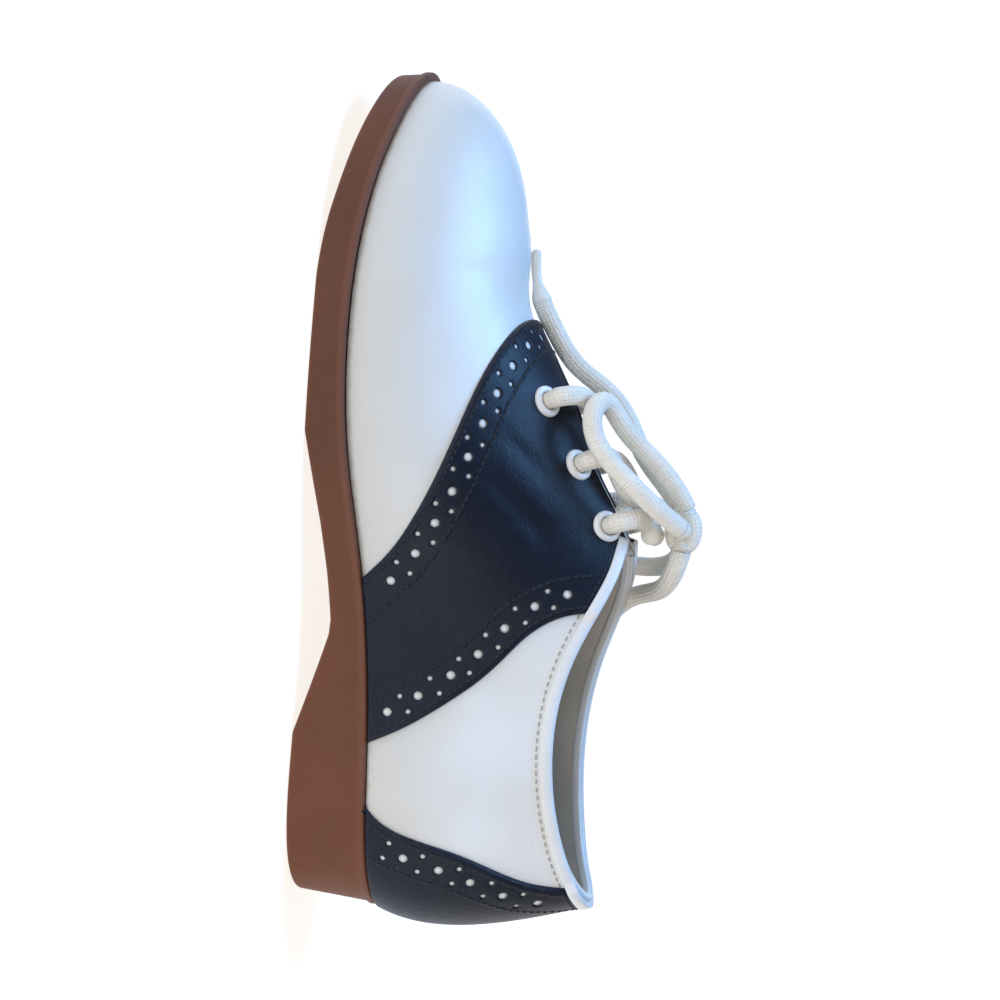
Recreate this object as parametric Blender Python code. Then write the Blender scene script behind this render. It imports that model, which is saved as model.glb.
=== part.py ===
"""A black and white saddle shoe for the left foot.

The shoe stands empty on its sole, with its toe towards -Y and its outer side towards +X.
Sizes are in millimetres until world() turns them into metres. A place on the shoe is
written (x, s, z): x across it, outwards, s along it from the back of the heel to the toe,
and z its height above the floor.

The upper follows one surface. At each angle round the shoe a rib rises from the rim of the
sole, to the ridge over the instep in front and to a ring round the ankle at the back. The
lining, saddle, counter and tongue are the same surface moved in or out.
"""

import math

import bmesh
import bpy
import numpy as np
from mathutils import Vector

MM = 0.001

# The shoe's middle, which stands over the world's origin
MIDDLE_X = 1.53
MIDDLE_S = 116.84

# Sole: ends of its outline, and the sideways swing of its centre line at the toe
HEEL_BACK = -2.4
TOE_TIP = 240.0
TOE_SWING = -2.0
OUTLINE_MIDDLE = (TOE_TIP + HEEL_BACK) / 2
OUTLINE_REACH = (TOE_TIP - HEEL_BACK) / 2

# Half widths of the sole at its rim, from the shoe's centre line: s, outer, inner
OUTLINE = (
    (0, 12.0, 12.0),
    (10, 24.3, 24.3),
    (27, 30.0, 30.0),
    (50, 29.8, 28.4),
    (68, 29.2, 26.0),
    (87, 31.0, 24.4),
    (107, 37.0, 26.8),
    (126, 42.2, 32.2),
    (148, 44.2, 38.2),
    (170, 44.0, 41.0),
    (190, 42.0, 40.8),
    (210, 35.6, 37.2),
    (226, 25.8, 29.2),
    (236, 14.2, 17.8),
)

# Height of the sole's rim, where the upper stands: s, z
RIM_HEIGHT = (
    (0, 23.8),
    (29, 22.8),
    (52, 21.5),
    (68, 20.0),
    (87, 17.8),
    (107, 15.0),
    (126, 12.3),
    (146, 10.6),
    (169, 10.3),
    (192, 12.0),
    (211, 14.9),
    (226, 18.2),
    (240, 21.6),
)

# Underside in front of the flat tread, where the toe springs up: s, z
TREAD_END = 175.0
TOE_SPRING = (
    (175, 0.0),
    (188, 1.1),
    (201, 3.2),
    (218, 6.3),
    (230, 9.2),
    (240, 11.8),
)

# Waist cut out of the underside, from the slanted heel breast to the tread: s, z
HEEL_BREAST_FOOT = 47.0
TREAD_START = 131.0
WAIST = (
    (75, 8.2),
    (79, 8.5),
    (92, 7.0),
    (106, 4.9),
    (119, 2.4),
)

# Side of the sole: how far each line stands in from the rim, and its height
RIM_STEPS = (
    # inset, below the rim
    (0.7, 0.0),
    (0.0, 0.5),
    (0.0, 1.9),
    (0.7, 2.3),
)
TREAD_STEPS = (
    # inset, above the tread
    (1.1, 1.8),
    (1.5, 0.6),
    (2.4, 0.0),
)
HEEL_TAPER = 1.3
HEEL_TAPER_END = 75.0

# Ledge of the sole that shows outside the upper: s, width
LEDGE = (
    (0, 1.0),
    (60, 1.2),
    (110, 2.0),
    (160, 2.4),
    (200, 2.6),
    (240, 2.6),
)

# Ribs of the last. A rib leaves the sole's rim upwards by rise and outwards by bulge, and
# comes to its top from reach outwards and drop below.
# s at the foot, top s, top z, top half width, rise, outer bulge, inner bulge, reach, drop
RIBS = (
    (0, 10.2, 100, 5.4, 20, 9.0, 9.0, 8.0, 28),
    (10, 15.5, 100, 10.7, 20, 7.5, 7.5, 6.5, 28),
    (27, 29.5, 100, 15.5, 20, 5.0, 5.0, 5.0, 28),
    (50, 51, 100, 18.0, 21, 3.5, 5.5, 4.0, 27),
    (70, 71, 100, 17.2, 23, 3.5, 8.0, 4.5, 24),
    (90, 91, 99, 11.6, 26, 4.0, 11.0, 7.0, 15),
    (102, 102.5, 96, 4.6, 28, 4.5, 12.0, 9.5, 6),
    (112, 112, 90, 0.0, 29, 4.5, 11.0, 11.0, 2),
    (126, 126, 79.0, 0.0, 29, 4.5, 9.0, 12.0, 0),
    (142, 142, 71.2, 0.0, 28, 4.5, 6.5, 13.0, 0),
    (158, 158.5, 61.8, 0.0, 27, 4.5, 5.0, 15.5, 0),
    (172, 172.5, 54.4, 0.0, 26, 4.5, 4.5, 19.5, 0),
    (190, 187.5, 53.0, 0.0, 22, 3.5, 4.0, 21.5, 0),
    (210, 198, 51.6, 0.0, 18.5, 2.5, 3.0, 20.5, 0),
    (226, 203.5, 50.6, 0.0, 16, 1.5, 1.5, 19.0, 0),
    (238, 206, 50.1, 0.0, 14, 0.7, 0.7, 17.5, 0),
)

# Line of the collar from the heel to the top corner of the facings: s, outer z, inner z
COLLAR = (
    (3, 86.0, 86.0),
    (11, 81.7, 82.5),
    (23, 77.3, 79.5),
    (40, 74.0, 77.6),
    (56, 73.8, 78.0),
    (73, 77.4, 81.2),
    (86, 82.8, 85.6),
    (97, 87.0, 88.6),
    (108, 88.4, 89.0),
)
FACING_CORNER = 108.0

# Slit for the laces between the facings: s, half width. Its front end is rounded.
SLIT_FRONT = 157.5
SLIT_ROUND = 2.5
SLIT = (
    (108, 7.4),
    (126, 4.8),
    (142, 3.6),
    (158, 2.6),
)

# Layers, as distances out from the last's surface
SEAT_GAP = 0.3
WALL_INSIDE = -1.8
OVERLAY_INSIDE = 0.3
OVERLAY_OUTSIDE = 1.5
TONGUE_OUTSIDE = -2.6
TONGUE_INSIDE = -4.8
OVERLAY_FOOT = 1.2

# Edges of the saddle in side view, from the sole to the top: s, z
SADDLE_FRONT = (
    (90.4, 16.0),
    (99.9, 25.2),
    (110.1, 31.6),
    (121, 36.7),
    (134.9, 41.6),
    (148.5, 46.0),
    (159.9, 50.4),
    (167.0, 53.8),
    (170.3, 57.0),
    (171.5, 62.0),
)
SADDLE_BACK = (
    (45.9, 22.3),
    (51.2, 32.6),
    (59.0, 43.9),
    (68.2, 54.6),
    (77.6, 62.8),
    (83.4, 70.1),
    (86.0, 77.0),
    (86.6, 84.0),
)

# Upper edge of the heel counter in side view, from the sole to the collar: s, z
COUNTER_EDGE = (
    (28.5, 22.8),
    (25.1, 26.2),
    (22.0, 31.8),
    (19.4, 40.4),
    (17.0, 49.3),
    (13.8, 57.8),
    (10.9, 65.3),
    (9.3, 72.5),
    (8.8, 81.0),
)

# Stretches of ribs round one side, from the heel to the toe: s at the end, number of ribs
RIB_SPANS = (
    (20, 6),
    (74, 7),
    (FACING_CORNER, 6),
    (SLIT_FRONT, 12),
    (212, 8),
    (TOE_TIP, 7),
)
RIB_ROWS = 8

# Insole
INSOLE_THICKNESS = 2.4
INSOLE_CLEAR = 0.4

# Tongue: s at its upper and lower end, where it leaves the last, and how far down it goes
TONGUE_TOP = 107.0
TONGUE_BEND = 112.5
TONGUE_FOOT = 167.0
TONGUE_REACH_TOP = 0.66
TONGUE_REACH_FOOT = 0.74
TONGUE_TAPER = 0.25
TONGUE_SPANS = 15
TONGUE_ROWS = 4

# Eyelets, front to top: s, height of the centre on the last
EYELETS = (
    (144.8, 62.4),
    (127.6, 72.2),
    (110.9, 81.8),
)
EYELET_HOLE = 3.3
HOLE_DEPTH = 5.0
EYELET_PROFILE = (
    # radius, distance out from the last
    (2.5, -1.5),
    (3.0, -1.5),
    (3.0, 2.1),
    (4.65, 2.1),
    (4.1, 2.8),
    (2.9, 2.9),
    (2.5, 2.4),
)
EYELET_SIDES = 12

# Lace: a round cord, its rise out of an eyelet and where its pieces run. The rise is
# given as steps up the rib (in v) and distance out from the last.
LACE_DIAMETER = 5.6
LACE_SIDES = 10
LACE_STEP = 3.2
CORD_STEP = 6.0
LACE_RISE = (
    (0.0, 4.0),
    (0.004, 5.6),
    (0.035, 7.5),
    (0.09, 7.7),
)
# Free stretches, as (x, s, z)
BAR_MIDDLE = ((-0.4, 145.4, 75.8),)
CROSSING_OVER = (
    (7.0, 121.6, 87.4),
    (2.5, 119.2, 88.9),
    (-1.2, 117.0, 89.6),
    (-3.0, 115.8, 89.8),
)
TOP_MIDDLE = ((6.2, 109.8, 94.6), (-0.2, 110.2, 95.2), (-6.6, 109.8, 94.6))
# Bow: loops and ends, from the knot. Places in the air are (x, s, z); those that lie on the
# shoe are (s, v, distance out from the last).
OUTER_LOOP = (
    (1.5, 118.2, 104.0),
    (3.5, 124.0, 100.5),
    (5.5, 132.0, 93.0),
    (8.5, 140.5, 84.5),
    (12.8, 146.5, 79.4),
    (17.5, 143.5, 77.2),
    (19.2, 135.5, 78.5),
    (18.5, 126.5, 86.0),
    (14.2, 117.0, 97.0),
    (7.9, 112.3, 103.2),
)
INNER_LOOP_DOWN = ((-7.9, 112.6, 103.2), (-13.5, 116.0, 99.6), (-17.8, 119.0, 92.5))
INNER_LOOP_DRAPE = (
    (119.0, 0.66, 5.6),
    (117.0, 0.56, 5.0),
    (110.0, 0.48, 5.0),
    (102.5, 0.54, 5.0),
    (100.5, 0.64, 5.6),
)
INNER_LOOP_UP = ((-17.0, 101.0, 94.0), (-11.5, 102.6, 99.8), (-5.5, 105.6, 102.8))
LONG_END = (
    (-5.0, 118.2, 102.4),
    (-7.0, 125.5, 96.0),
    (-8.0, 134.0, 89.2),
    (-8.0, 143.0, 84.4),
    (-7.6, 150.5, 78.6),
    (-7.0, 158.0, 69.0),
    (-7.0, 167.0, 62.8),
    (-6.5, 176.0, 58.4),
    (-5.8, 184.0, 56.8),
    (-5.0, 191.0, 56.4),
)
SHORT_END_OVER = ((1.0, 105.8, 103.4), (0.0, 101.0, 102.0), (-6.0, 95.5, 98.6))
SHORT_END_DRAPE = (
    (88.0, 0.76, 5.8),
    (80.0, 0.69, 5.0),
    (71.0, 0.62, 5.0),
    (62.0, 0.56, 5.0),
)
KNOT_CENTRE = (-0.4, 112.0, 103.4)
KNOT_SIZE = (7.0, 5.6, 5.0)

FAR_ACROSS = 90.0
FAR_UP = 130.0

WHITE_LEATHER = ("white_leather", (0.80, 0.81, 0.84), 0.38)
BLACK_LEATHER = ("black_leather", (0.012, 0.014, 0.020), 0.36)
SOLE_RUBBER = ("sole_rubber", (0.27, 0.115, 0.065), 0.55)
TONGUE_LEATHER = ("tongue_leather", (0.62, 0.62, 0.62), 0.55)
INSOLE_COVER = ("insole_cover", (0.52, 0.44, 0.34), 0.70)
EYELET_ENAMEL = ("eyelet_enamel", (0.82, 0.82, 0.84), 0.35)
LACE_COTTON = ("lace_cotton", (0.74, 0.69, 0.60), 0.90)


def curve(table, column):
    """Read one column of a table as a smooth function of its first column."""
    rows = np.array(table, float)
    at, value = rows[:, 0], rows[:, column]
    span = np.diff(at)
    slope = np.diff(value) / span
    count = len(at)
    equations = np.eye(count)
    wanted = np.zeros(count)
    for i in range(1, count - 1):
        equations[i, i - 1:i + 2] = span[i - 1], 2 * (span[i - 1] + span[i]), span[i]
        wanted[i] = 6 * (slope[i] - slope[i - 1])
    bend = np.linalg.solve(equations, wanted)

    def read(s):
        i = np.clip(np.searchsorted(at, s) - 1, 0, count - 2)
        right = (s - at[i]) / span[i]
        left = 1 - right
        cubic = (left**3 - left) * bend[i] + (right**3 - right) * bend[i + 1]
        return left * value[i] + right * value[i + 1] + cubic * span[i]**2 / 6

    return read


def angle_at(s):
    """Angle round the outline at a distance s: 0 at the heel, pi at the toe."""
    return np.arccos(np.clip((OUTLINE_MIDDLE - s) / OUTLINE_REACH, -1, 1))


def station(angle):
    return OUTLINE_MIDDLE - OUTLINE_REACH * np.cos(angle)


def centre_line(s):
    return TOE_SWING * (s / TOE_TIP)**3


def ellipse_widths(table, column, centred):
    """Turn half widths into those of ellipses, which stay smooth round both ends."""
    rows = []
    for row in table:
        offset = 0 if centred else centre_line(row[0])
        side = 1 if column == 1 else -1
        rows.append((row[0], (row[column] - side * offset) / math.sin(angle_at(row[0]))))
    return rows


outer_width = curve(ellipse_widths(OUTLINE, 1, False), 1)
inner_width = curve(ellipse_widths(OUTLINE, 2, False), 1)
rim_height = curve(RIM_HEIGHT, 1)
toe_spring = curve(TOE_SPRING, 1)
ledge_width = curve(LEDGE, 1)
top_station = curve(RIBS, 1)
top_height = curve(RIBS, 2)
top_width = curve(ellipse_widths(RIBS, 3, True), 1)
rib_rise = curve(RIBS, 4)
outer_bulge = curve(RIBS, 5)
inner_bulge = curve(RIBS, 6)
rib_reach = curve(RIBS, 7)
rib_drop = curve(RIBS, 8)
outer_collar = curve(COLLAR, 1)
inner_collar = curve(COLLAR, 2)
slit_width = curve(SLIT, 1)


def outline(angle):
    """Point (x, s) of the sole's rim. Angles below zero are on the inner side."""
    s = station(angle)
    width = np.where(angle < 0, inner_width(s), outer_width(s))
    return np.stack((centre_line(s) + np.sin(angle) * width, s), -1)


def outline_normal(angle):
    """Level direction that points out of the outline."""
    step = 0.002
    ahead = outline(turn(angle + step))
    behind = outline(turn(angle - step))
    run = ahead - behind
    run /= np.linalg.norm(run, axis=-1, keepdims=True)
    return np.stack((run[..., 1], -run[..., 0]), -1)


def turn(angle):
    """Bring an angle back between -pi and pi."""
    return np.arctan2(np.sin(angle), np.cos(angle))


def rib_points(angle):
    """The four points that guide each rib: foot, lower handle, upper handle and top."""
    s = station(angle)
    side = np.where(angle < 0, -1.0, 1.0)
    normal = outline_normal(angle)
    foot_plan = outline(angle) - normal * ledge_width(s)[..., None]
    foot_z = rim_height(foot_plan[..., 1]) + SEAT_GAP
    foot = np.stack((foot_plan[..., 0], foot_plan[..., 1], foot_z), -1)

    bulge = np.where(angle < 0, inner_bulge(s), outer_bulge(s))
    lower = foot + np.stack((normal[..., 0] * bulge, normal[..., 1] * bulge, rib_rise(s)), -1)

    top_s = top_station(s)
    half = np.maximum(top_width(s), 0) * np.abs(np.sin(angle))
    top = np.stack((centre_line(top_s) + side * half, top_s, top_height(s)), -1)

    step = 0.5
    climb = top_height(s + step) - top_height(s - step)
    run = top_station(s + step) - top_station(s - step)
    rise = normal[..., 1] * climb / run
    reach = rib_reach(s)[..., None]
    away = np.stack((normal[..., 0], normal[..., 1], rise), -1) * reach
    upper = top + away - np.stack((0 * s, 0 * s, rib_drop(s)), -1)
    return foot, lower, upper, top


def surface(angle, v):
    """Point (x, s, z) of the last: an angle round the shoe, and v from 0 to 1 up the rib."""
    foot, lower, upper, top = rib_points(angle)
    v = np.asarray(v)[..., None]
    u = 1 - v
    return u**3 * foot + 3 * u * u * v * lower + 3 * u * v * v * upper + v**3 * top


def surface_normal(angle, v):
    """Direction out of the last's surface."""
    step = 0.002
    low = np.maximum(v - step, 0)
    high = np.minimum(v + step, 1)
    along = surface(turn(angle + step), v) - surface(turn(angle - step), v)
    up = surface(angle, high) - surface(angle, low)
    normal = np.cross(along, up)
    return normal / np.linalg.norm(normal, axis=-1, keepdims=True)


def slit_half(s):
    """Half the slit's width at s, with a round front end."""
    short = np.clip((SLIT_FRONT - s) / SLIT_ROUND, 0, 1)
    return slit_width(s) * np.sqrt(short * (2 - short))


def past_edge(angle, v):
    """True where a rib has passed the collar's line or the edge of the slit."""
    x, s, z = np.moveaxis(surface(angle, v), -1, 0)
    collar = np.where(angle < 0, inner_collar(s), outer_collar(s))
    over_collar = (s < FACING_CORNER) & (z > collar)
    in_front = (s >= FACING_CORNER) & (s < SLIT_FRONT)
    return over_collar | (in_front & (np.abs(x - centre_line(s)) < slit_half(s)))


def rib_end(angle):
    """How far up each rib the upper reaches: 1 is the ridge, where the sides join."""
    low = np.full(np.shape(angle), 0.3)
    high = np.full(np.shape(angle), 1.0)
    for _ in range(40):
        middle = (low + high) / 2
        past = past_edge(angle, middle)
        high = np.where(past, middle, high)
        low = np.where(past, low, middle)
    return np.where(high == 1.0, 1.0, low)


def world(point):
    """Turn (x, s, z) in millimetres into Blender's metres, with the toe towards -Y."""
    x, s, z = point
    return Vector(((x - MIDDLE_X) * MM, (MIDDLE_S - s) * MM, z * MM))


def shoe_parent():
    empty = bpy.data.objects.new("saddle_shoe", None)
    bpy.context.scene.collection.objects.link(empty)
    return empty


def material(finish):
    name, colour, roughness = finish
    made = bpy.data.materials.get(name) or bpy.data.materials.new(name)
    made.use_nodes = True
    shader = made.node_tree.nodes["Principled BSDF"]
    shader.inputs["Base Color"].default_value = (*colour, 1)
    shader.inputs["Roughness"].default_value = roughness
    return made


def add_object(name, points, faces, finish=None, sharp=40):
    """Make a mesh object from (x, s, z) points and faces, with its faces turned out."""
    mesh = bpy.data.meshes.new(name)
    mesh.from_pydata([world(p) for p in points], [], faces)
    shape = bmesh.new()
    shape.from_mesh(mesh)
    bmesh.ops.recalc_face_normals(shape, faces=shape.faces)
    shape.to_mesh(mesh)
    shape.free()
    mesh.shade_smooth()
    mesh.set_sharp_from_angle(angle=math.radians(sharp))
    piece = bpy.data.objects.new(name, mesh)
    bpy.context.scene.collection.objects.link(piece)
    piece.parent = PARENT
    if finish:
        mesh.materials.append(material(finish))
    return piece


def add_cutter(name, points, faces):
    piece = add_object(name, points, faces)
    piece.hide_render = True
    piece.display_type = "WIRE"
    return piece


def cut(piece, tool, operation, solver="EXACT"):
    change = piece.modifiers.new(tool.name, "BOOLEAN")
    change.operation = operation
    change.object = tool
    change.solver = solver


def side_prism(name, profile):
    """Cutter right across the shoe, whose outline is given in side view as (s, z)."""
    count = len(profile)
    points = [(across, s, z) for across in (-FAR_ACROSS, FAR_ACROSS) for s, z in profile]
    faces = [tuple(range(count)), tuple(range(2 * count - 1, count - 1, -1))]
    for i in range(count):
        j = (i + 1) % count
        faces.append((i, j, j + count, i + count))
    return add_cutter(name, points, faces)


def thicken(points, normals, triangles, inside, outside):
    """Give a sheet a thickness: its two faces, and a rim along each open edge."""
    count = len(points)
    solid = [p + n * outside for p, n in zip(points, normals)]
    solid += [p + n * inside for p, n in zip(points, normals)]
    faces = list(triangles)
    faces += [(a + count, c + count, b + count) for a, b, c in triangles]
    edges = {(t[i], t[(i + 1) % 3]) for t in triangles for i in range(3)}
    for a, b in sorted(edges):
        if (b, a) not in edges:
            faces.append((b, a, a + count))
            faces.append((b, a + count, b + count))
    return solid, faces


def rib_angles():
    """Angles of the ribs on one side, with a rib at each corner of the upper's edge."""
    angles = [0.0]
    for end, count in RIB_SPANS:
        start = angles[-1]
        finish = float(angle_at(end))
        angles += [start + (finish - start) * (i + 1) / count for i in range(count)]
    return np.array(angles)


def ridge_normal(angle):
    """Direction out of the ridge, where both sides of the last meet level."""
    step = 0.5
    s = station(angle)
    climb = top_height(s + step) - top_height(s - step)
    run = top_station(s + step) - top_station(s - step)
    normal = np.array((0.0, -climb / run, 1.0))
    return normal / np.linalg.norm(normal)


def upper_sheet():
    """The last's surface up to the collar and the slit, as points, normals, triangles."""
    one_side = rib_angles()
    angles = np.concatenate((one_side, -one_side[-2:0:-1]))
    slit_angle = float(angle_at(SLIT_FRONT))
    ends = rib_end(angles)
    points, normals, place = [], [], {}
    for column, angle in enumerate(angles):
        for row in range(RIB_ROWS + 1):
            on_ridge = row == RIB_ROWS and abs(angle) > slit_angle - 0.001
            if on_ridge and angle < 0:
                place[column, row] = place[len(angles) - column, row]
                continue
            place[column, row] = len(points)
            v = ends[column] * row / RIB_ROWS
            points.append(surface(angle, v))
            normals.append(ridge_normal(angle) if on_ridge else surface_normal(angle, v))
    triangles = []
    for column in range(len(angles)):
        following = (column + 1) % len(angles)
        for row in range(RIB_ROWS):
            a, b = place[column, row], place[following, row]
            c, d = place[following, row + 1], place[column, row + 1]
            triangles += [t for t in ((a, b, c), (a, c, d)) if len(set(t)) == 3]
    return points, normals, triangles


def sole_ring(angles, inset, height):
    """One line round the sole, as points: its inset from the rim and its height."""
    ring = []
    for angle in angles:
        x, s = outline(angle) - outline_normal(angle) * inset(station(angle))
        ring.append((float(x), float(s), float(height(s))))
    return ring


def tread_height(s):
    return float(toe_spring(s)) if s > TREAD_END else 0.0


def heel_inset(s):
    return HEEL_TAPER * max(0.0, 1 - s / HEEL_TAPER_END)**0.5 if s > 0 else HEEL_TAPER


def make_sole():
    """Moulded sole with its rim, toe spring, waist and low heel in one piece."""
    one_side = rib_angles()
    angles = np.concatenate((one_side, -one_side[-2:0:-1]))
    rings = []
    for step, below in RIM_STEPS:
        rings.append(sole_ring(angles, lambda s, w=step: w,
                               lambda s, h=below: rim_height(s) - h))
    for step, above in TREAD_STEPS:
        rings.append(sole_ring(angles, lambda s, w=step: w + heel_inset(s),
                               lambda s, h=above: tread_height(s) + h))
    count = len(angles)
    points = [p for ring in rings for p in ring]
    faces = []
    for ring in range(len(rings) - 1):
        for i in range(count):
            j = (i + 1) % count
            start = ring * count
            faces.append((start + i, start + j, start + count + j, start + count + i))
    for start in (0, (len(rings) - 1) * count):
        faces += cap_faces(start, count)
    sole = add_object("sole_unit", points, faces, SOLE_RUBBER, sharp=25)
    below = -5.0
    profile = [(HEEL_BREAST_FOOT, 0.0), *WAIST, (TREAD_START, 0.0),
               (TREAD_START, below), (HEEL_BREAST_FOOT, below)]
    cut(sole, side_prism("waist_cutter", profile), "DIFFERENCE")
    return sole


def cap_faces(start, count):
    """Close a ring of points with strips from the outer to the inner side."""
    faces = [(start, start + 1, start + count - 1)]
    half = count // 2
    for i in range(1, half - 1):
        faces.append((start + i, start + i + 1, start + count - i - 1, start + count - i))
    faces.append((start + half - 1, start + half, start + half + 1))
    return faces


def make_insole():
    """Thin board on the sole, inside the foot of the upper."""
    one_side = rib_angles()
    angles = np.concatenate((one_side, -one_side[-2:0:-1]))
    clear = INSOLE_CLEAR - WALL_INSIDE
    rings = []
    for lift in (SEAT_GAP, SEAT_GAP + INSOLE_THICKNESS):
        rings += sole_ring(angles, lambda s: ledge_width(s) + clear,
                           lambda s, h=lift: rim_height(s) + h)
    count = len(angles)
    faces = cap_faces(0, count) + cap_faces(count, count)
    for i in range(count):
        j = (i + 1) % count
        faces.append((i, j, j + count, i + count))
    return add_object("insole", rings, faces, INSOLE_COVER)


def make_upper(sheet):
    """Vamp and quarters: one wall, open at the collar, the slit and underneath."""
    return add_object("upper", *thicken(*sheet, WALL_INSIDE, 0.0), WHITE_LEATHER)


def make_overlay(name, sheet, profile):
    """Outer layer of leather: a larger wall, cut out by its pattern in side view."""
    layer = add_object(name, *thicken(*sheet, OVERLAY_INSIDE, OVERLAY_OUTSIDE), BLACK_LEATHER)
    cut(layer, side_prism(name + "_cutter", profile), "INTERSECT")
    return layer


def foot_line(start, end, count):
    """Points just above the sole's rim, from one s to another."""
    return [(s, float(rim_height(s)) + OVERLAY_FOOT) for s in np.linspace(start, end, count)]


def smooth_edge(rows, count):
    """Points along a smooth edge through (s, z) rows."""
    steps = np.arange(len(rows))
    along = [(i, s, z) for i, (s, z) in zip(steps, rows)]
    edge_s, edge_z = curve(along, 1), curve(along, 2)
    return [(float(edge_s(i)), float(edge_z(i))) for i in np.linspace(0, len(rows) - 1, count)]


def saddle_profile():
    back = [p for p in smooth_edge(SADDLE_BACK, 15) if p[1] > rim_height(p[0]) + OVERLAY_FOOT]
    front = [p for p in smooth_edge(SADDLE_FRONT, 19) if p[1] > rim_height(p[0]) + OVERLAY_FOOT]
    foot = foot_line(front[0][0] - 0.4, back[0][0] - 0.3, 6)
    over = [(back[-1][0], FAR_UP), (front[-1][0], FAR_UP)]
    return foot + back + over + front[::-1]


def counter_profile():
    edge = [p for p in smooth_edge(COUNTER_EDGE, 17) if p[1] > rim_height(p[0]) + OVERLAY_FOOT]
    behind = HEEL_BACK - 20
    foot = foot_line(edge[0][0] + 0.6, 0.0, 4) + [(behind, float(rim_height(0)) + OVERLAY_FOOT)]
    return foot + [(behind, FAR_UP), (edge[-1][0], FAR_UP)] + edge[::-1]


def make_tongue():
    """Tongue under the slit, from inside the vamp to just past the facings."""
    stations = np.linspace(TONGUE_FOOT, TONGUE_BEND, TONGUE_SPANS - 3)
    angles = angle_at(stations)
    columns = []
    for i, angle in enumerate(angles):
        share = i / (len(angles) - 1)
        low = TONGUE_REACH_FOOT + (TONGUE_REACH_TOP - TONGUE_REACH_FOOT) * share
        levels = np.linspace(low, 1, TONGUE_ROWS + 1)
        outer = [(surface(angle, v), surface_normal(angle, v)) for v in levels[:-1]]
        inner = [(surface(-angle, v), surface_normal(-angle, v)) for v in levels[-2::-1]]
        ridge = [(surface(angle, 1.0), ridge_normal(angle))]
        columns.append(outer + ridge + inner)
    last_point, last_normal = columns[-1][TONGUE_ROWS]
    climb = np.array((0.0, -last_normal[2], last_normal[1]))
    extra = (TONGUE_BEND - TONGUE_TOP) / last_normal[2]
    end = columns[-1]
    for share in (1 / 3, 2 / 3, 1):
        narrow = np.array((1 - TONGUE_TAPER * share, 1, 1))
        columns.append([(p * narrow + climb * extra * share, n) for p, n in end])
    width = len(columns[0])
    points = [p for column in columns for p, n in column]
    normals = [n for column in columns for p, n in column]
    triangles = []
    for i in range(len(columns) - 1):
        for j in range(width - 1):
            a = i * width + j
            triangles += [(a, a + width, a + width + 1), (a, a + width + 1, a + 1)]
    solid = thicken(points, normals, triangles, TONGUE_INSIDE, TONGUE_OUTSIDE)
    return add_object("tongue", *solid, TONGUE_LEATHER)


def eyelet_place(side, s, z):
    """Angle and v of an eyelet's centre on the last. side is 1 outside and -1 inside."""
    angle = side * angle_at(s)
    low, high = 0.3, 1.0
    for _ in range(30):
        middle = (low + high) / 2
        if surface(angle, middle)[2] < z:
            low = middle
        else:
            high = middle
    return angle, low


def lifted(angle, v, lift):
    """Point at a distance out from the last."""
    return tuple(surface(angle, v) + surface_normal(angle, v) * lift)


def turned_ring(centre, axis, profile, sides):
    """Points and faces of a closed profile of (radius, height) turned round an axis."""
    axis = Vector(axis)
    aside = axis.orthogonal().normalized()
    across = axis.cross(aside)
    points, faces = [], []
    count = len(profile)
    for i in range(sides):
        turned = 2 * math.pi * i / sides
        out = aside * math.cos(turned) + across * math.sin(turned)
        points += [tuple(Vector(centre) + out * r + axis * h) for r, h in profile]
        following = (i + 1) % sides
        for j in range(count):
            k = (j + 1) % count
            faces.append((i * count + j, i * count + k,
                          following * count + k, following * count + j))
    return points, faces


def rod(centre, axis, radius, low, high, sides):
    """Points and faces of a plain rod along an axis."""
    points, faces = turned_ring(centre, axis, ((radius, low), (radius, high)), sides)
    sides_only = [f for i, f in enumerate(faces) if i % 2 == 0]
    ends = [tuple(range(0, 2 * sides, 2)), tuple(range(2 * sides - 1, 0, -2))]
    return points, sides_only + ends


def make_eyelets(upper, saddle):
    """Six flanged eyelets, and their holes through the upper and the saddle."""
    points, faces = [], []
    for row, (s, z) in enumerate(EYELETS, 1):
        for side, word in ((1, "outer"), (-1, "inner")):
            place = eyelet_place(side, s, z)
            centre, axis = surface(*place), surface_normal(*place)
            ring = turned_ring(centre, axis, EYELET_PROFILE, EYELET_SIDES)
            add_object(f"eyelet_{word}_{row}", *ring, EYELET_ENAMEL)
            hole = rod(centre, axis, EYELET_HOLE, -HOLE_DEPTH, HOLE_DEPTH, EYELET_SIDES)
            faces += [tuple(i + len(points) for i in face) for face in hole[1]]
            points += hole[0]
    drill = add_cutter("eyelet_drill", points, faces)
    for layer in (upper, saddle):
        cut(layer, drill, "DIFFERENCE")


def smooth_route(route, step):
    """Points at even steps along a smooth curve through a route's own points."""
    route = np.array(route)
    chords = np.linalg.norm(np.diff(route, axis=0), axis=1)
    along = np.concatenate(((0.0,), np.cumsum(chords)))
    table = np.column_stack((along, route))
    read = [curve(table, column) for column in (1, 2, 3)]
    fine = np.linspace(0, along[-1], 40 * len(route))
    line = np.column_stack([axis(fine) for axis in read])
    run = np.concatenate(((0.0,), np.cumsum(np.linalg.norm(np.diff(line, axis=0), axis=1))))
    count = max(2, round(run[-1] / step))
    wanted = np.linspace(0, run[-1], count + 1)
    return np.column_stack([np.interp(wanted, run, line[:, axis]) for axis in range(3)])


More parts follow.
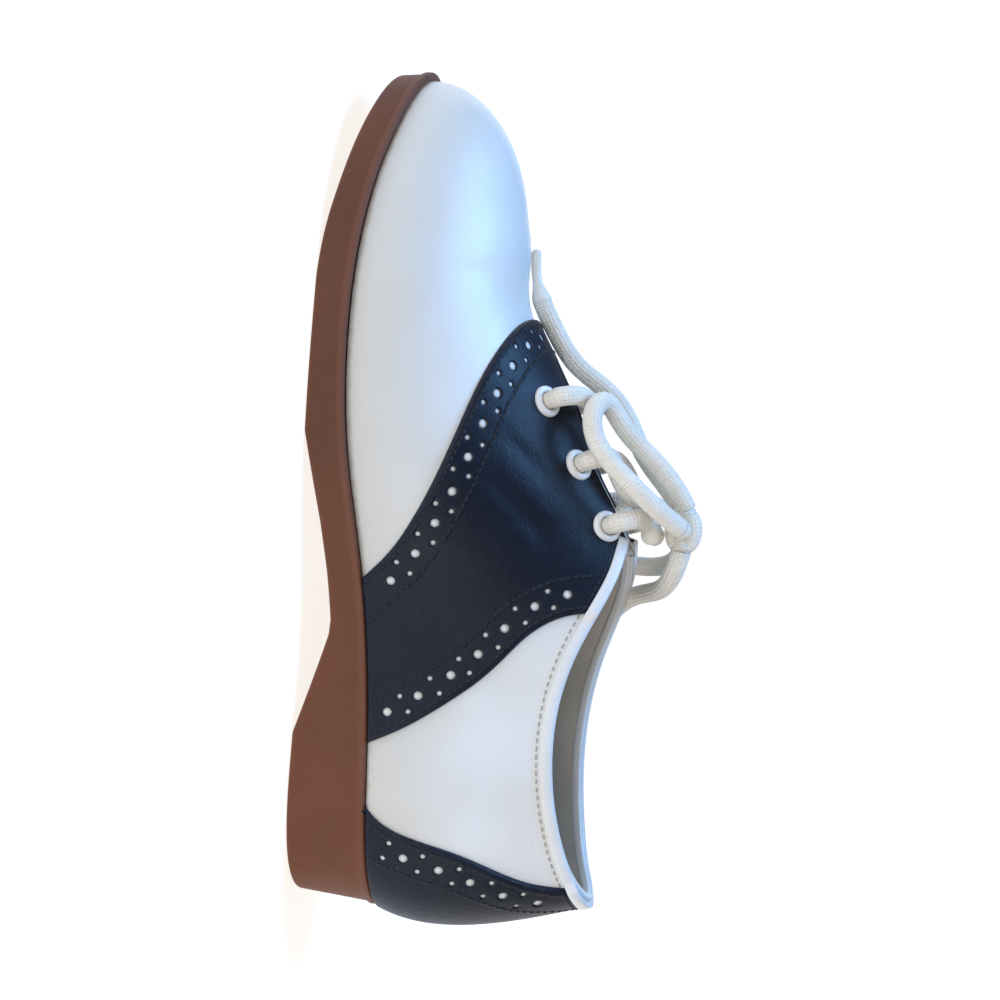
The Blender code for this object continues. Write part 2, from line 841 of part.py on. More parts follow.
def tube(line, radius, sides):
    """Points and faces of a closed round tube along a line."""
    points, faces = [], []
    ahead = np.gradient(line, axis=0)
    aside = None
    for centre, along in zip(line, ahead):
        along = Vector(along).normalized()
        aside = (aside or along.orthogonal()) - along * along.dot(aside or along.orthogonal())
        aside.normalize()
        across = along.cross(aside)
        for i in range(sides):
            turned = 2 * math.pi * i / sides
            out = aside * math.cos(turned) + across * math.sin(turned)
            points.append(tuple(Vector(centre) + out * radius))
    for ring in range(len(line) - 1):
        for i in range(sides):
            a, b = ring * sides + i, ring * sides + (i + 1) % sides
            faces.append((a, b, b + sides, a + sides))
    last = len(points) - sides
    faces += [tuple(range(sides)), tuple(range(len(points) - 1, last - 1, -1))]
    return points, faces


def rise(side, row):
    """Route of the lace out of an eyelet and towards the slit."""
    angle, v = eyelet_place(side, *EYELETS[row])
    return [lifted(angle, v + up, lift) for up, lift in LACE_RISE]


def mirrored(route):
    return [(-x, s, z) for x, s, z in route]


def make_bar(name, row, middle):
    """Lace straight across the slit, from one eyelet to the other."""
    route = rise(1, row) + list(middle) + rise(-1, row)[::-1]
    line = smooth_route(route, LACE_STEP)
    return add_object(name, *tube(line, LACE_DIAMETER / 2, LACE_SIDES), LACE_COTTON)


def make_crossing(row):
    """Two strands that cross over the slit and dive under the facings, joined."""
    strands = []
    for side, over in ((1, CROSSING_OVER), (-1, mirrored(CROSSING_OVER))):
        line = smooth_route(rise(side, row) + list(over), LACE_STEP)
        strands.append(tube(line, LACE_DIAMETER / 2, LACE_SIDES))
    crossing = add_object("lace_crossing", *strands[0], LACE_COTTON)
    cut(crossing, add_cutter("lace_under", *strands[1]), "UNION")
    return crossing


def make_knot():
    """Middle of the bow, as a plain rounded solid."""
    shape = bmesh.new()
    bmesh.ops.create_icosphere(shape, subdivisions=2, radius=1)
    points = [tuple(c + k * p for c, k, p in zip(KNOT_CENTRE, KNOT_SIZE, v.co))
              for v in shape.verts]
    faces = [tuple(v.index for v in f.verts) for f in shape.faces]
    shape.free()
    return add_object("lace_knot", points, faces, LACE_COTTON)


def make_cord(name, route):
    """Free stretch of lace, as a round curve."""
    line = smooth_route(route, CORD_STEP)
    data = bpy.data.curves.new(name, "CURVE")
    data.dimensions = "3D"
    data.bevel_depth = LACE_DIAMETER / 2 * MM
    data.bevel_resolution = 2
    data.use_fill_caps = True
    spline = data.splines.new("POLY")
    spline.points.add(len(line) - 1)
    for point, place in zip(spline.points, line):
        point.co = (*world(place), 1)
    data.materials.append(material(LACE_COTTON))
    cord = bpy.data.objects.new(name, data)
    bpy.context.scene.collection.objects.link(cord)
    cord.parent = PARENT
    return cord


def draped(side, rows):
    """Places on the shoe's outside, given as (s, v, distance out from the last)."""
    return [lifted(side * angle_at(s), v, lift) for s, v, lift in rows]


def make_bow():
    """Knot, two loops and two ends, which lie on the shoe."""
    make_knot()
    make_cord("lace_loop_outer", OUTER_LOOP)
    drape = draped(-1, INNER_LOOP_DRAPE)
    make_cord("lace_loop_inner", [*INNER_LOOP_DOWN, *drape, *INNER_LOOP_UP])
    make_cord("lace_end_long", LONG_END)
    make_cord("lace_end_short", [*SHORT_END_OVER, *draped(-1, SHORT_END_DRAPE)])


PARENT = None


def main():
    global PARENT
    for thing in list(bpy.data.objects):
        bpy.data.objects.remove(thing, do_unlink=True)
    PARENT = shoe_parent()
    sheet = upper_sheet()
    make_sole()
    make_insole()
    upper = make_upper(sheet)
    saddle = make_overlay("saddle", sheet, saddle_profile())
    make_overlay("counter", sheet, counter_profile())
    make_tongue()
    make_eyelets(upper, saddle)
    make_bar("lace_bar_front", 0, BAR_MIDDLE)
    make_crossing(1)
    make_bar("lace_bar_top", 2, TOP_MIDDLE)
    make_bow()


main()
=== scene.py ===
# %% [markdown]
# # A black and white saddle shoe
# A saddle shoe is a low laced shoe with a white upper. A black leather saddle runs over the
# instep from one edge of the sole to the other, and a black counter wraps the heel. This
# lesson dresses the plain solids of the CAD model: each leather part is cut as a pattern,
# punched, laid on the last and stitched, as a shoemaker does it. The last is the foot-shaped
# form that a shoe is made on.
#
# The script first loads the CAD model, which fixes where every piece goes.

# %% Load the CAD model
import math
from functools import lru_cache

import bmesh
import bpy
import numpy as np
from mathutils import Matrix, Vector
from mathutils.geometry import delaunay_2d_cdt
from mathutils.kdtree import KDTree

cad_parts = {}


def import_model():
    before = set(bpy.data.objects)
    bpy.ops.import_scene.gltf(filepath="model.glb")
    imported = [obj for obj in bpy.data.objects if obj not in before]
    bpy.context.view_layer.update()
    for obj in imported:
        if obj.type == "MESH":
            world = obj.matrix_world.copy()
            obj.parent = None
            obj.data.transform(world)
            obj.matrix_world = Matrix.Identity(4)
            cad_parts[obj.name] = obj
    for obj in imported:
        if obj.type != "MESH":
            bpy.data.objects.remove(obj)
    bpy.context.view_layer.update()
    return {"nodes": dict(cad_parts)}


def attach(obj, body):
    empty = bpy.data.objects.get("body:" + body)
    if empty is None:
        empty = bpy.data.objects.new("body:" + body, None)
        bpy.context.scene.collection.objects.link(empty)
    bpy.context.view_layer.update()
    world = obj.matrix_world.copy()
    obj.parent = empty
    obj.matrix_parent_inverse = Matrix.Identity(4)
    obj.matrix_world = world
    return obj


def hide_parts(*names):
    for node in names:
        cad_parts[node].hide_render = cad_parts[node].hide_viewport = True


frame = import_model()
print("CAD nodes:", ", ".join(sorted(frame["nodes"])))

# %% [markdown]
# Everything below is worked out in the shoe's own millimetres. A place is (x, s, z): x across
# the shoe, outwards, s along it from the back of the heel to the toe, and z above the floor.
# One function turns such places into Blender's metres, with the toe towards -Y.

# %% Units and the shoe's own directions
MM = 0.001
MIDDLE_X = 1.53
MIDDLE_S = 116.84


def world(points):
    """Turn rows of (x, s, z) in millimetres into metres in the CAD model's frame."""
    points = np.asarray(points, float)
    x, s, z = np.moveaxis(points, -1, 0)
    return np.stack(((x - MIDDLE_X) * MM, (MIDDLE_S - s) * MM, z * MM), -1)


print("back of the heel is at", world((0.0, 0.0, 0.0)).round(4).tolist(), "m")

# %% [markdown]
# ## The camera
# The photograph looks at the outer side of the shoe from a little above the floor, and its
# picture is turned so that the toe points up. A camera can be rolled in the same way: its
# three directions are given, and Blender's matrix is filled in from them.

# %% Camera on the outer side, rolled so that the toe is up
CAMERA_PLACE = Vector((0.714, 0.016, 0.160))
CAMERA_AIM = Vector((0.0, 0.0, 0.050))
PICTURE_UP = Vector((0.0144, -0.9971, -0.0751))
CAMERA_LENS = 90.0

lens = bpy.data.cameras.new("camera")
lens.lens = CAMERA_LENS
lens.clip_start = 0.01
camera = bpy.data.objects.new("camera", lens)
bpy.context.scene.collection.objects.link(camera)
backwards = (CAMERA_PLACE - CAMERA_AIM).normalized()
upwards = (PICTURE_UP - backwards * PICTURE_UP.dot(backwards)).normalized()
rightwards = upwards.cross(backwards)
turned = Matrix((rightwards, upwards, backwards)).transposed()
camera.matrix_world = Matrix.Translation(CAMERA_PLACE) @ turned.to_4x4()
bpy.context.scene.camera = camera
print("camera is", round((CAMERA_PLACE - CAMERA_AIM).length, 3), "m from the shoe")

# %% [markdown]
# ## The last
# The whole upper follows one smooth surface. At each angle round the shoe, from 0 at the heel
# to pi at the toe, a rib rises from the sole's rim. Each rib is a curve with two handles, and
# its sizes come from short tables that are read as smooth curves. A sculpted mesh could look
# the same, but a surface with two numbers, the angle and v up the rib, lets every layer, seam
# and hole be placed exactly, and keeps it where the CAD model has it.

# %% Tables of the last, in millimetres
HEEL_BACK = -2.4
TOE_TIP = 240.0
TOE_SWING = -2.0
OUTLINE_MIDDLE = (TOE_TIP + HEEL_BACK) / 2
OUTLINE_REACH = (TOE_TIP - HEEL_BACK) / 2
SEAT_GAP = 0.3

# Half widths of the sole at its rim: s, outer, inner
OUTLINE = (
    (0, 12.0, 12.0), (10, 24.3, 24.3), (27, 30.0, 30.0), (50, 29.8, 28.4),
    (68, 29.2, 26.0), (87, 31.0, 24.4), (107, 37.0, 26.8), (126, 42.2, 32.2),
    (148, 44.2, 38.2), (170, 44.0, 41.0), (190, 42.0, 40.8), (210, 35.6, 37.2),
    (226, 25.8, 29.2), (236, 14.2, 17.8),
)
# Height of the sole's rim: s, z
RIM_HEIGHT = (
    (0, 23.8), (29, 22.8), (52, 21.5), (68, 20.0), (87, 17.8), (107, 15.0), (126, 12.3),
    (146, 10.6), (169, 10.3), (192, 12.0), (211, 14.9), (226, 18.2), (240, 21.6),
)
# Width of the sole's ledge outside the upper: s, width
LEDGE = ((0, 1.0), (60, 1.2), (110, 2.0), (160, 2.4), (200, 2.6), (240, 2.6))
# Ribs: s at the foot, top s, top z, top half width, rise, outer bulge, inner bulge, reach, drop
RIBS = (
    (0, 10.2, 100, 5.4, 20, 9.0, 9.0, 8.0, 28),
    (10, 15.5, 100, 10.7, 20, 7.5, 7.5, 6.5, 28),
    (27, 29.5, 100, 15.5, 20, 5.0, 5.0, 5.0, 28),
    (50, 51, 100, 18.0, 21, 3.5, 5.5, 4.0, 27),
    (70, 71, 100, 17.2, 23, 3.5, 8.0, 4.5, 24),
    (90, 91, 99, 11.6, 26, 4.0, 11.0, 7.0, 15),
    (102, 102.5, 96, 4.6, 28, 4.5, 12.0, 9.5, 6),
    (112, 112, 90, 0.0, 29, 4.5, 11.0, 11.0, 2),
    (126, 126, 79.0, 0.0, 29, 4.5, 9.0, 12.0, 0),
    (142, 142, 71.2, 0.0, 28, 4.5, 6.5, 13.0, 0),
    (158, 158.5, 61.8, 0.0, 27, 4.5, 5.0, 15.5, 0),
    (172, 172.5, 54.4, 0.0, 26, 4.5, 4.5, 19.5, 0),
    (190, 187.5, 53.0, 0.0, 22, 3.5, 4.0, 21.5, 0),
    (210, 198, 51.6, 0.0, 18.5, 2.5, 3.0, 20.5, 0),
    (226, 203.5, 50.6, 0.0, 16, 1.5, 1.5, 19.0, 0),
    (238, 206, 50.1, 0.0, 14, 0.7, 0.7, 17.5, 0),
)
# Line of the collar: s, outer z, inner z
COLLAR = (
    (3, 86.0, 86.0), (11, 81.7, 82.5), (23, 77.3, 79.5), (40, 74.0, 77.6), (56, 73.8, 78.0),
    (73, 77.4, 81.2), (86, 82.8, 85.6), (97, 87.0, 88.6), (108, 88.4, 89.0),
)
FACING_CORNER = 108.0
# Slit between the facings: s, half width
SLIT = ((108, 7.4), (126, 4.8), (142, 3.6), (158, 2.6))
SLIT_FRONT = 157.5
SLIT_ROUND = 2.5
print(len(RIBS), "ribs guide the last, from", HEEL_BACK, "to", TOE_TIP, "mm")

# %% [markdown]
# A natural cubic spline reads one column of a table as a smooth function of its first one.
# The half widths are first turned into those of ellipses, so that the outline stays round at
# the heel and the toe.


# %% Read the tables
CURVE_BEYOND = 6.0
CURVE_SAMPLES = 6000


def curve(table, column):
    """Read one column of a table as a smooth function of its first column."""
    rows = np.array(table, float)
    at, value = rows[:, 0], rows[:, column]
    span = np.diff(at)
    slope = np.diff(value) / span
    count = len(at)
    equations = np.eye(count)
    wanted = np.zeros(count)
    for i in range(1, count - 1):
        equations[i, i - 1:i + 2] = span[i - 1], 2 * (span[i - 1] + span[i]), span[i]
        wanted[i] = 6 * (slope[i] - slope[i - 1])
    bend = np.linalg.solve(equations, wanted)

    def spline(s):
        i = np.clip(np.searchsorted(at, s) - 1, 0, count - 2)
        right = (s - at[i]) / span[i]
        left = 1 - right
        cubic = (left**3 - left) * bend[i] + (right**3 - right) * bend[i + 1]
        return left * value[i] + right * value[i + 1] + cubic * span[i]**2 / 6

    fine = np.linspace(at[0] - CURVE_BEYOND, at[-1] + CURVE_BEYOND, CURVE_SAMPLES)
    fine_values = spline(fine)
    return lambda s: np.interp(s, fine, fine_values)


def angle_at(s):
    """Angle round the outline at a distance s: 0 at the heel, pi at the toe."""
    return np.arccos(np.clip((OUTLINE_MIDDLE - s) / OUTLINE_REACH, -1, 1))


def station(angle):
    """Distance s at an angle round the outline."""
    return OUTLINE_MIDDLE - OUTLINE_REACH * np.cos(angle)


def centre_line(s):
    """How far x of the sole's middle swings towards the toe."""
    return TOE_SWING * (s / TOE_TIP)**3


def ellipse_widths(table, column, centred):
    """Turn half widths into those of ellipses, which stay smooth round both ends."""
    rows = []
    for row in table:
        offset = 0 if centred else centre_line(row[0])
        side = 1 if column == 1 else -1
        rows.append((row[0], (row[column] - side * offset) / math.sin(angle_at(row[0]))))
    return rows


outer_width = curve(ellipse_widths(OUTLINE, 1, False), 1)
inner_width = curve(ellipse_widths(OUTLINE, 2, False), 1)
top_width = curve(ellipse_widths(RIBS, 3, True), 1)
rim_height, ledge_width, slit_width = (curve(table, 1) for table in (RIM_HEIGHT, LEDGE, SLIT))
top_station, top_height = curve(RIBS, 1), curve(RIBS, 2)
rib_rise, outer_bulge, inner_bulge, rib_reach, rib_drop = (curve(RIBS, c) for c in range(4, 9))
outer_collar, inner_collar = curve(COLLAR, 1), curve(COLLAR, 2)
print("rim above the floor at heel and toe, in mm:", RIM_HEIGHT[0][1], "and", RIM_HEIGHT[-1][1])


# %% [markdown]
# These functions give any point of the last and the direction straight out of it. They take
# whole arrays, so that a fine leather sheet with thousands of points takes a moment.

# %% Points and directions on the last
ANGLE_STEP = 0.002
SLOPE_STEP = 0.5
RIDGE_START = 112.0


def turn(angle):
    """Bring an angle back between -pi and pi."""
    return np.arctan2(np.sin(angle), np.cos(angle))


def unit(vectors):
    """The same directions, each of length 1."""
    return vectors / np.maximum(np.linalg.norm(vectors, axis=-1, keepdims=True), 1e-12)


def outline(angle):
    """Point (x, s) of the sole's rim. Angles below zero are on the inner side."""
    s = station(angle)
    width = np.where(angle < 0, inner_width(s), outer_width(s))
    return np.stack((centre_line(s) + np.sin(angle) * width, s), -1)


def outline_normal(angle):
    """Level direction that points out of the outline."""
    run = unit(outline(turn(angle + ANGLE_STEP)) - outline(turn(angle - ANGLE_STEP)))
    return np.stack((run[..., 1], -run[..., 0]), -1)


def rib_points(angle):
    """The four points that guide each rib: foot, lower handle, upper handle and top."""
    s = station(angle)
    side = np.where(angle < 0, -1.0, 1.0)
    normal = outline_normal(angle)
    foot_plan = outline(angle) - normal * ledge_width(s)[..., None]
    foot_z = rim_height(foot_plan[..., 1]) + SEAT_GAP
    foot = np.stack((foot_plan[..., 0], foot_plan[..., 1], foot_z), -1)
    bulge = np.where(angle < 0, inner_bulge(s), outer_bulge(s))
    lower = foot + np.stack((normal[..., 0] * bulge, normal[..., 1] * bulge, rib_rise(s)), -1)
    top_s = top_station(s)
    half = np.where(s < RIDGE_START, np.maximum(top_width(s), 0) * np.abs(np.sin(angle)), 0.0)
    top = np.stack((centre_line(top_s) + side * half, top_s, top_height(s)), -1)
    climb = top_height(s + SLOPE_STEP) - top_height(s - SLOPE_STEP)
    run = top_station(s + SLOPE_STEP) - top_station(s - SLOPE_STEP)
    rise = normal[..., 1] * climb / run
    away = np.stack((normal[..., 0], normal[..., 1], rise), -1) * rib_reach(s)[..., None]
    upper = top + away - np.stack((0 * s, 0 * s, rib_drop(s)), -1)
    return foot, lower, upper, top


def surface(angle, v):
    """Point (x, s, z) of the last. v is 0 at the foot of a rib and 1 on the ridge, and from
    there it runs on down the other side to 2."""
    angle, v = np.broadcast_arrays(np.asarray(angle, float), np.asarray(v, float))
    beyond = v > 1
    angle, v = np.where(beyond, -angle, angle), np.where(beyond, 2 - v, v)
    foot, lower, upper, top = rib_points(turn(angle))
    v = v[..., None]
    u = 1 - v
    return u**3 * foot + 3 * u * u * v * lower + 3 * u * v * v * upper + v**3 * top


def on_last(places):
    """Points of the last for rows of (angle, v)."""
    return surface(*places.T)


def surface_tangents(angle, v):
    """How far the surface moves for one step of the angle, and of v."""
    low, high = np.maximum(v - ANGLE_STEP, 0), np.minimum(v + ANGLE_STEP, 2)
    along = surface(angle + ANGLE_STEP, v) - surface(angle - ANGLE_STEP, v)
    up = (surface(angle, high) - surface(angle, low)) / (high - low)[..., None]
    return along / (2 * ANGLE_STEP), up


def surface_normal(angle, v):
    """Direction straight out of the last."""
    angle, v = np.broadcast_arrays(np.asarray(angle, float), np.asarray(v, float))
    return unit(np.cross(*surface_tangents(angle, v)))


print("toe of the last, in mm:", np.round(surface(math.pi, 0.0), 1).tolist())

# %% [markdown]
# The upper ends at the collar's line behind, and at the slit for the laces in front. A
# search by halves finds how far up each rib that is.

# %% Edge of the upper
HALVINGS = 40
LOWEST_END = 0.3
ROUNDS = 12
ON_RIDGE = 0.9999


def slit_half(s):
    """Half the slit's width at s, with a round front end."""
    short = np.clip((SLIT_FRONT - s) / SLIT_ROUND, 0, 1)
    return slit_width(s) * np.sqrt(short * (2 - short))


def past_edge(angle, v):
    """True where a rib has passed the collar's line or the edge of the slit."""
    x, s, z = np.moveaxis(surface(angle, v), -1, 0)
    collar = np.where(angle < 0, inner_collar(s), outer_collar(s))
    over_collar = (s < FACING_CORNER) & (z > collar)
    in_front = (s >= FACING_CORNER) & (s < SLIT_FRONT)
    return over_collar | (in_front & (np.abs(x - centre_line(s)) < slit_half(s)))


def rib_end(angle):
    """How far up each rib the upper reaches: 1 is the ridge, where the sides join."""
    angle = np.asarray(angle, float)
    low, high = np.full(angle.shape, LOWEST_END), np.full(angle.shape, 1.0)
    for _ in range(HALVINGS):
        middle = (low + high) / 2
        past = past_edge(angle, middle)
        high = np.where(past, middle, high)
        low = np.where(past, low, middle)
    return np.where(high == 1.0, 1.0, low)


def place_at(side, s, z):
    """Angle and v of the surface's point at s and z, on the outer (1) or inner (-1) side."""
    s, z = np.broadcast_arrays(np.asarray(s, float), np.asarray(z, float))
    guess = s.copy()
    for _ in range(ROUNDS):
        angle = side * angle_at(guess)
        low, high = np.zeros(s.shape), np.ones(s.shape)
        for _ in range(HALVINGS):
            middle = (low + high) / 2
            below = surface(angle, middle)[..., 2] < z
            low, high = np.where(below, middle, low), np.where(below, high, middle)
        guess = guess + s - surface(angle, low)[..., 1]
    v = np.where(low > ON_RIDGE, 1.0, low)
    return np.stack((side * angle_at(guess), v), -1)


heel_girth = surface(0.0, rib_end(0.0))[2] - surface(0.0, 0.0)[2]
print("height of the upper at the heel, in mm:", round(float(heel_girth), 1))

# %% [markdown]
# ## Faces and pieces
# Most pieces here are grids of points: rings along a lace, lines beside the collar, ribs of
# the upper. One function lists the faces of any such grid. A second one gives a flat sheet its
# underside and closes it along its open edges, which are those that only one face has.

# %% Faces of grids and layers


def grid_faces(rows, columns, ring=False, closed=False, flip=False):
    """Faces between the rows of a grid. With ring, each row closes on itself. With closed,
    the last row joins the first one. With flip, the faces look the other way."""
    faces = []
    for row in range(rows if closed else rows - 1):
        a, b = row * columns, (row + 1) % rows * columns
        for i in range(columns if ring else columns - 1):
            j = (i + 1) % columns
            face = (a + i, a + j, b + j, b + i)
            faces.append((face[0], *face[:0:-1]) if flip else face)
    return faces


def layer_faces(skin, count):
    """A layer's faces: its outside, its underside count points later, and its edges."""
    skin = [tuple(map(int, face)) for face in skin]
    under = [tuple(i + count for i in face[::-1]) for face in skin]
    sides = {pair for face in skin for pair in zip(face, face[1:] + face[:1])}
    ends = [(b, a, a + count, b + count) for a, b in sorted(sides) if (b, a) not in sides]
    return skin + under + ends


def join_parts(parts):
    """One list of points and one of faces, from several."""
    points, faces = [], []
    for part_points, part_faces in parts:
        faces += [tuple(i + len(points) for i in face) for face in part_faces]
        points += list(part_points)
    return points, faces


def above_rim(points):
    """Height of points above the sole's rim."""
    return points[:, 2] - rim_height(points[:, 1])


print("faces of a ring of 24 over two rows:", len(grid_faces(2, 24, ring=True)))

# %% [markdown]
# Every piece ends up as a mesh that rides on the CAD model's only body, takes the finish it is
# given, and may stand for CAD nodes. One function does all of that. It also stores numbers on
# the points, such as the distance from an edge, for the materials.


# %% One function for every mesh piece
def make_piece(name, points, faces, finish, slot, nodes=(), fields=None, uv=None, picks=None):
    """Make a mesh from (x, s, z) points. Fields are numbers for each point, uv for each corner."""
    mesh = bpy.data.meshes.new(name)
    mesh.from_pydata(world(points).tolist(), [], [list(map(int, face)) for face in faces])
    for made in finish if isinstance(finish, (list, tuple)) else [finish]:
        mesh.materials.append(made)
    if picks is not None:
        mesh.polygons.foreach_set("material_index", np.asarray(picks, np.int32))
    for label, values in (fields or {}).items():
        attribute = mesh.attributes.new(label, "FLOAT", "POINT")
        attribute.data.foreach_set("value", np.asarray(values, np.float32))
    if uv is not None:
        layer = mesh.uv_layers.new(name="UVMap")
        layer.data.foreach_set("uv", np.asarray(uv, np.float32).ravel())
    mesh.shade_smooth()
    mesh.update()
    piece = bpy.data.objects.new(name, mesh)
    bpy.context.scene.collection.objects.link(piece)
    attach(piece, "root")
    if nodes:
        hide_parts(*nodes)
    print(f"{name}: {len(mesh.vertices)} points, {len(mesh.polygons)} faces")
    return piece


# %% [markdown]
# ## Materials as sums
# A material's nodes could be placed and linked one at a time, but the thinking behind them is
# a sum: grain plus creases, less the wear. The class below wraps a socket, so that plus,
# minus and times between sockets and numbers add the Math nodes. Colours and vectors go
# through Mix and Vector Math nodes, because a Math node would turn a colour grey.

# %% A socket that can be added and multiplied
class Signal:
    """One output of a material's nodes, with Python's own signs for its sums."""

    def __init__(self, finish, socket):
        self.finish = finish
        self.socket = socket

    def math(self, operation, first, second=0.0):
        inputs = {0: first, 1: second}
        return self.finish.node("ShaderNodeMath", {"operation": operation}, inputs)

    def __add__(self, other):
        return self.math("ADD", self, other)

    def __sub__(self, other):
        return self.math("SUBTRACT", self, other)

    def __rsub__(self, other):
        return self.math("SUBTRACT", other, self)

    def __mul__(self, other):
        return self.math("MULTIPLY", self, other)

    __radd__ = __add__
    __rmul__ = __mul__

    def sine(self):
        return self.math("SINE", self)


# %% [markdown]
# A finish is a material in the making. It starts with the numbers that are the same all over,
# which go straight on the shader's own sockets. Any other node comes from one method: its
# type, its settings, and what goes into its sockets.

# %% A finish and its nodes
class Finish:
    """A material with its shader, and one method that adds any other node."""

    def __init__(self, name, **constants):
        self.material = bpy.data.materials.new(name)
        self.material.use_nodes = True
        self.tree = self.material.node_tree
        self.shader = self.tree.nodes["Principled BSDF"]
        for label, value in constants.items():
            self.shader.inputs[label.replace("_", " ")].default_value = value

    def connect(self, socket, value):
        if isinstance(value, Signal):
            self.tree.links.new(value.socket, socket)
        else:
            socket.default_value = value

    def node(self, kind, settings=None, inputs=None, output=0):
        made = self.tree.nodes.new(kind)
        for label, value in (settings or {}).items():
            setattr(made, label, value)
        for label, value in (inputs or {}).items():
            self.connect(made.inputs[label], value)
        return Signal(self, made.outputs[output])

    def place(self):
        """Where a point is, in millimetres."""
        here = self.node("ShaderNodeTexCoord", output="Object")
        inputs = {0: here, "Scale": 1 / MM}
        return self.node("ShaderNodeVectorMath", {"operation": "SCALE"}, inputs)

    def field(self, label):
        """A number that make_piece stored on the points."""
        return self.node("ShaderNodeAttribute", {"attribute_name": label}, output="Fac")

    def noise(self, width, detail=3.0, at=None):
        """Soft patches about so many millimetres wide, from 0 to 1."""
        inputs = {"Vector": at or self.place(), "Scale": 1 / width, "Detail": detail}
        return self.node("ShaderNodeTexNoise", None, inputs)

    def pebbles(self, width):
        """Pebbles about so many millimetres wide: the distance from each one's middle."""
        inputs = {"Vector": self.place(), "Scale": 1 / width}
        return self.node("ShaderNodeTexVoronoi", {"feature": "SMOOTH_F1"}, inputs, "Distance")

    def blend(self, share, first, second):
        """A colour between two: first where share is 0, second where it is 1."""
        settings = {"data_type": "RGBA", "clamp_factor": True}
        return self.node("ShaderNodeMix", settings, {0: share, 6: first, 7: second}, 2)

    def step(self, value, low, high):
        """0 below low, 1 above high, and smooth in between."""
        inputs = {"Value": value, "From Min": low, "From Max": high}
        return self.node("ShaderNodeMapRange", {"interpolation_type": "SMOOTHSTEP"}, inputs)

    def relief(self, height, depth, on=None):
        """Turn a height from 0 to 1 into a bump that is depth millimetres tall."""
        inputs = {"Height": height, "Distance": depth * MM, "Strength": 1.0}
        if on:
            inputs["Normal"] = on
        return self.node("ShaderNodeBump", None, inputs)

    def finished(self, **links):
        for label, value in links.items():
            self.connect(self.shader.inputs[label.replace("_", " ")], value)
        print(f"{self.material.name}: a finish of {len(self.tree.nodes)} nodes")
        return self.material


# %% [markdown]
# ## Leathers
# White leather here is coated: smooth, slightly waxy, with a fine grain that only shows where
# light grazes it. The grain is a bump from small cells, because real pores at this size would
# need millions of faces. Dirt and a few scuffs gather near the sole, and a darker cream tint
# towards the sole is painted shade, where the upper curves in to it.

# %% White leather
PALE_WHITE = (0.78, 0.78, 0.78, 1)
CREAM_WHITE = (0.74, 0.71, 0.66, 1)
FOOT_PAINTED_SHADE = (0.60, 0.56, 0.49, 1)
SOIL = (0.42, 0.35, 0.27, 1)


def leather_grain(finish, width, depth):
    """Fine pebbles over soft unevenness, as one normal."""
    pebbles = finish.step(finish.pebbles(width), 0.0, 0.75)
    waves = finish.relief(finish.noise(9.0, 2.0), 0.25)
    return finish.relief(pebbles, depth, waves)


def white_leather():
    finish = Finish("white_leather", Specular_IOR_Level=0.5, Coat_Roughness=0.25)
    patches = finish.noise(38.0, 2.0)
    low = finish.field("above_sole")
    soil = (1 - finish.step(low, 0.4, 2.6)) * finish.step(finish.noise(3.0), 0.35, 0.7)
    scuffs = finish.step(finish.noise(1.6, 5.0), 0.70, 0.76) * (1 - finish.step(low, 4, 22))
    colour = finish.blend(finish.step(patches, 0.35, 0.75), PALE_WHITE, CREAM_WHITE)
    # Painted shade: a darker cream towards the sole, where the upper curves in under the light.
    colour = finish.blend((1 - finish.step(low, 1.0, 34.0)) * 0.7, colour, FOOT_PAINTED_SHADE)
    colour = finish.blend(soil * 0.55 + scuffs * 0.25, colour, SOIL)
    roughness = 0.34 + 0.10 * finish.noise(6.0, 3.0) + 0.2 * soil
    return finish.finished(Base_Color=colour, Roughness=roughness, Coat_Weight=0.12,
                           Normal=leather_grain(finish, 0.9, 0.035))


WHITE_LEATHER = white_leather()

# %% [markdown]
# Black leather is the same stuff with a darker finish. It shows its grain more, and it
# catches a grey bloom on folded edges. Three fields on its points say how far the nearest
# edge, the nearest row of stitches and the sole are, so that the folded edge looks worn, each
# row of stitches lies in a shallow groove, and a few specks of dirt lie near the sole.

# %% Black leather
# Both blacks are tinted navy: a painted blue sheen, standing in for the bluish window light on
# black leather.
BLACK_WITH_PAINTED_BLUE_SHEEN = (0.0030, 0.0060, 0.0150, 1)
WORN_BLACK = (0.021, 0.026, 0.040, 1)
SPECK_GREY = (0.35, 0.33, 0.30, 1)


def black_leather():
    finish = Finish("black_leather", Specular_IOR_Level=0.24, Coat_Roughness=0.35)
    edge, seam = finish.field("edge"), finish.field("seam")
    wear = (1 - finish.step(edge, 0.2, 1.1)) * finish.step(finish.noise(2.5), 0.3, 0.7)
    groove = 1 - finish.step(seam, 0.0, 0.8)
    bloom = finish.step(finish.noise(14.0, 4.0), 0.45, 0.8)
    specks = finish.step(finish.noise(0.9, 2.0), 0.73, 0.78)
    low = 1 - finish.step(finish.field("above_sole"), 3.0, 24.0)
    colour = finish.blend(wear * 0.6 + bloom * 0.14, BLACK_WITH_PAINTED_BLUE_SHEEN, WORN_BLACK)
    colour = finish.blend(specks * low * 0.35, colour, SPECK_GREY)
    roughness = 0.40 + 0.12 * finish.noise(5.0, 3.0) + 0.12 * groove
    grain = leather_grain(finish, 0.75, 0.05)
    return finish.finished(Base_Color=colour, Roughness=roughness, Coat_Weight=0.06,
                           Normal=finish.relief(1 - groove, 0.3, grain))


BLACK_LEATHER = black_leather()

# %% [markdown]
# The lining is thin leather of a greyish beige, matte and a little blotched by wear, and it
# covers the insole too. The tongue is a plain greyish white. One flat colour would look like
# card, so one function gives them slow patches, a fine mottle and a flatter grain.

# %% Lining, insole cover and tongue leather
LINING_BEIGE = (0.62, 0.57, 0.50, 1)
LINING_DARK = (0.44, 0.40, 0.34, 1)
TONGUE_GREY = (0.60, 0.60, 0.60, 1)
TONGUE_SHADE = (0.47, 0.46, 0.45, 1)


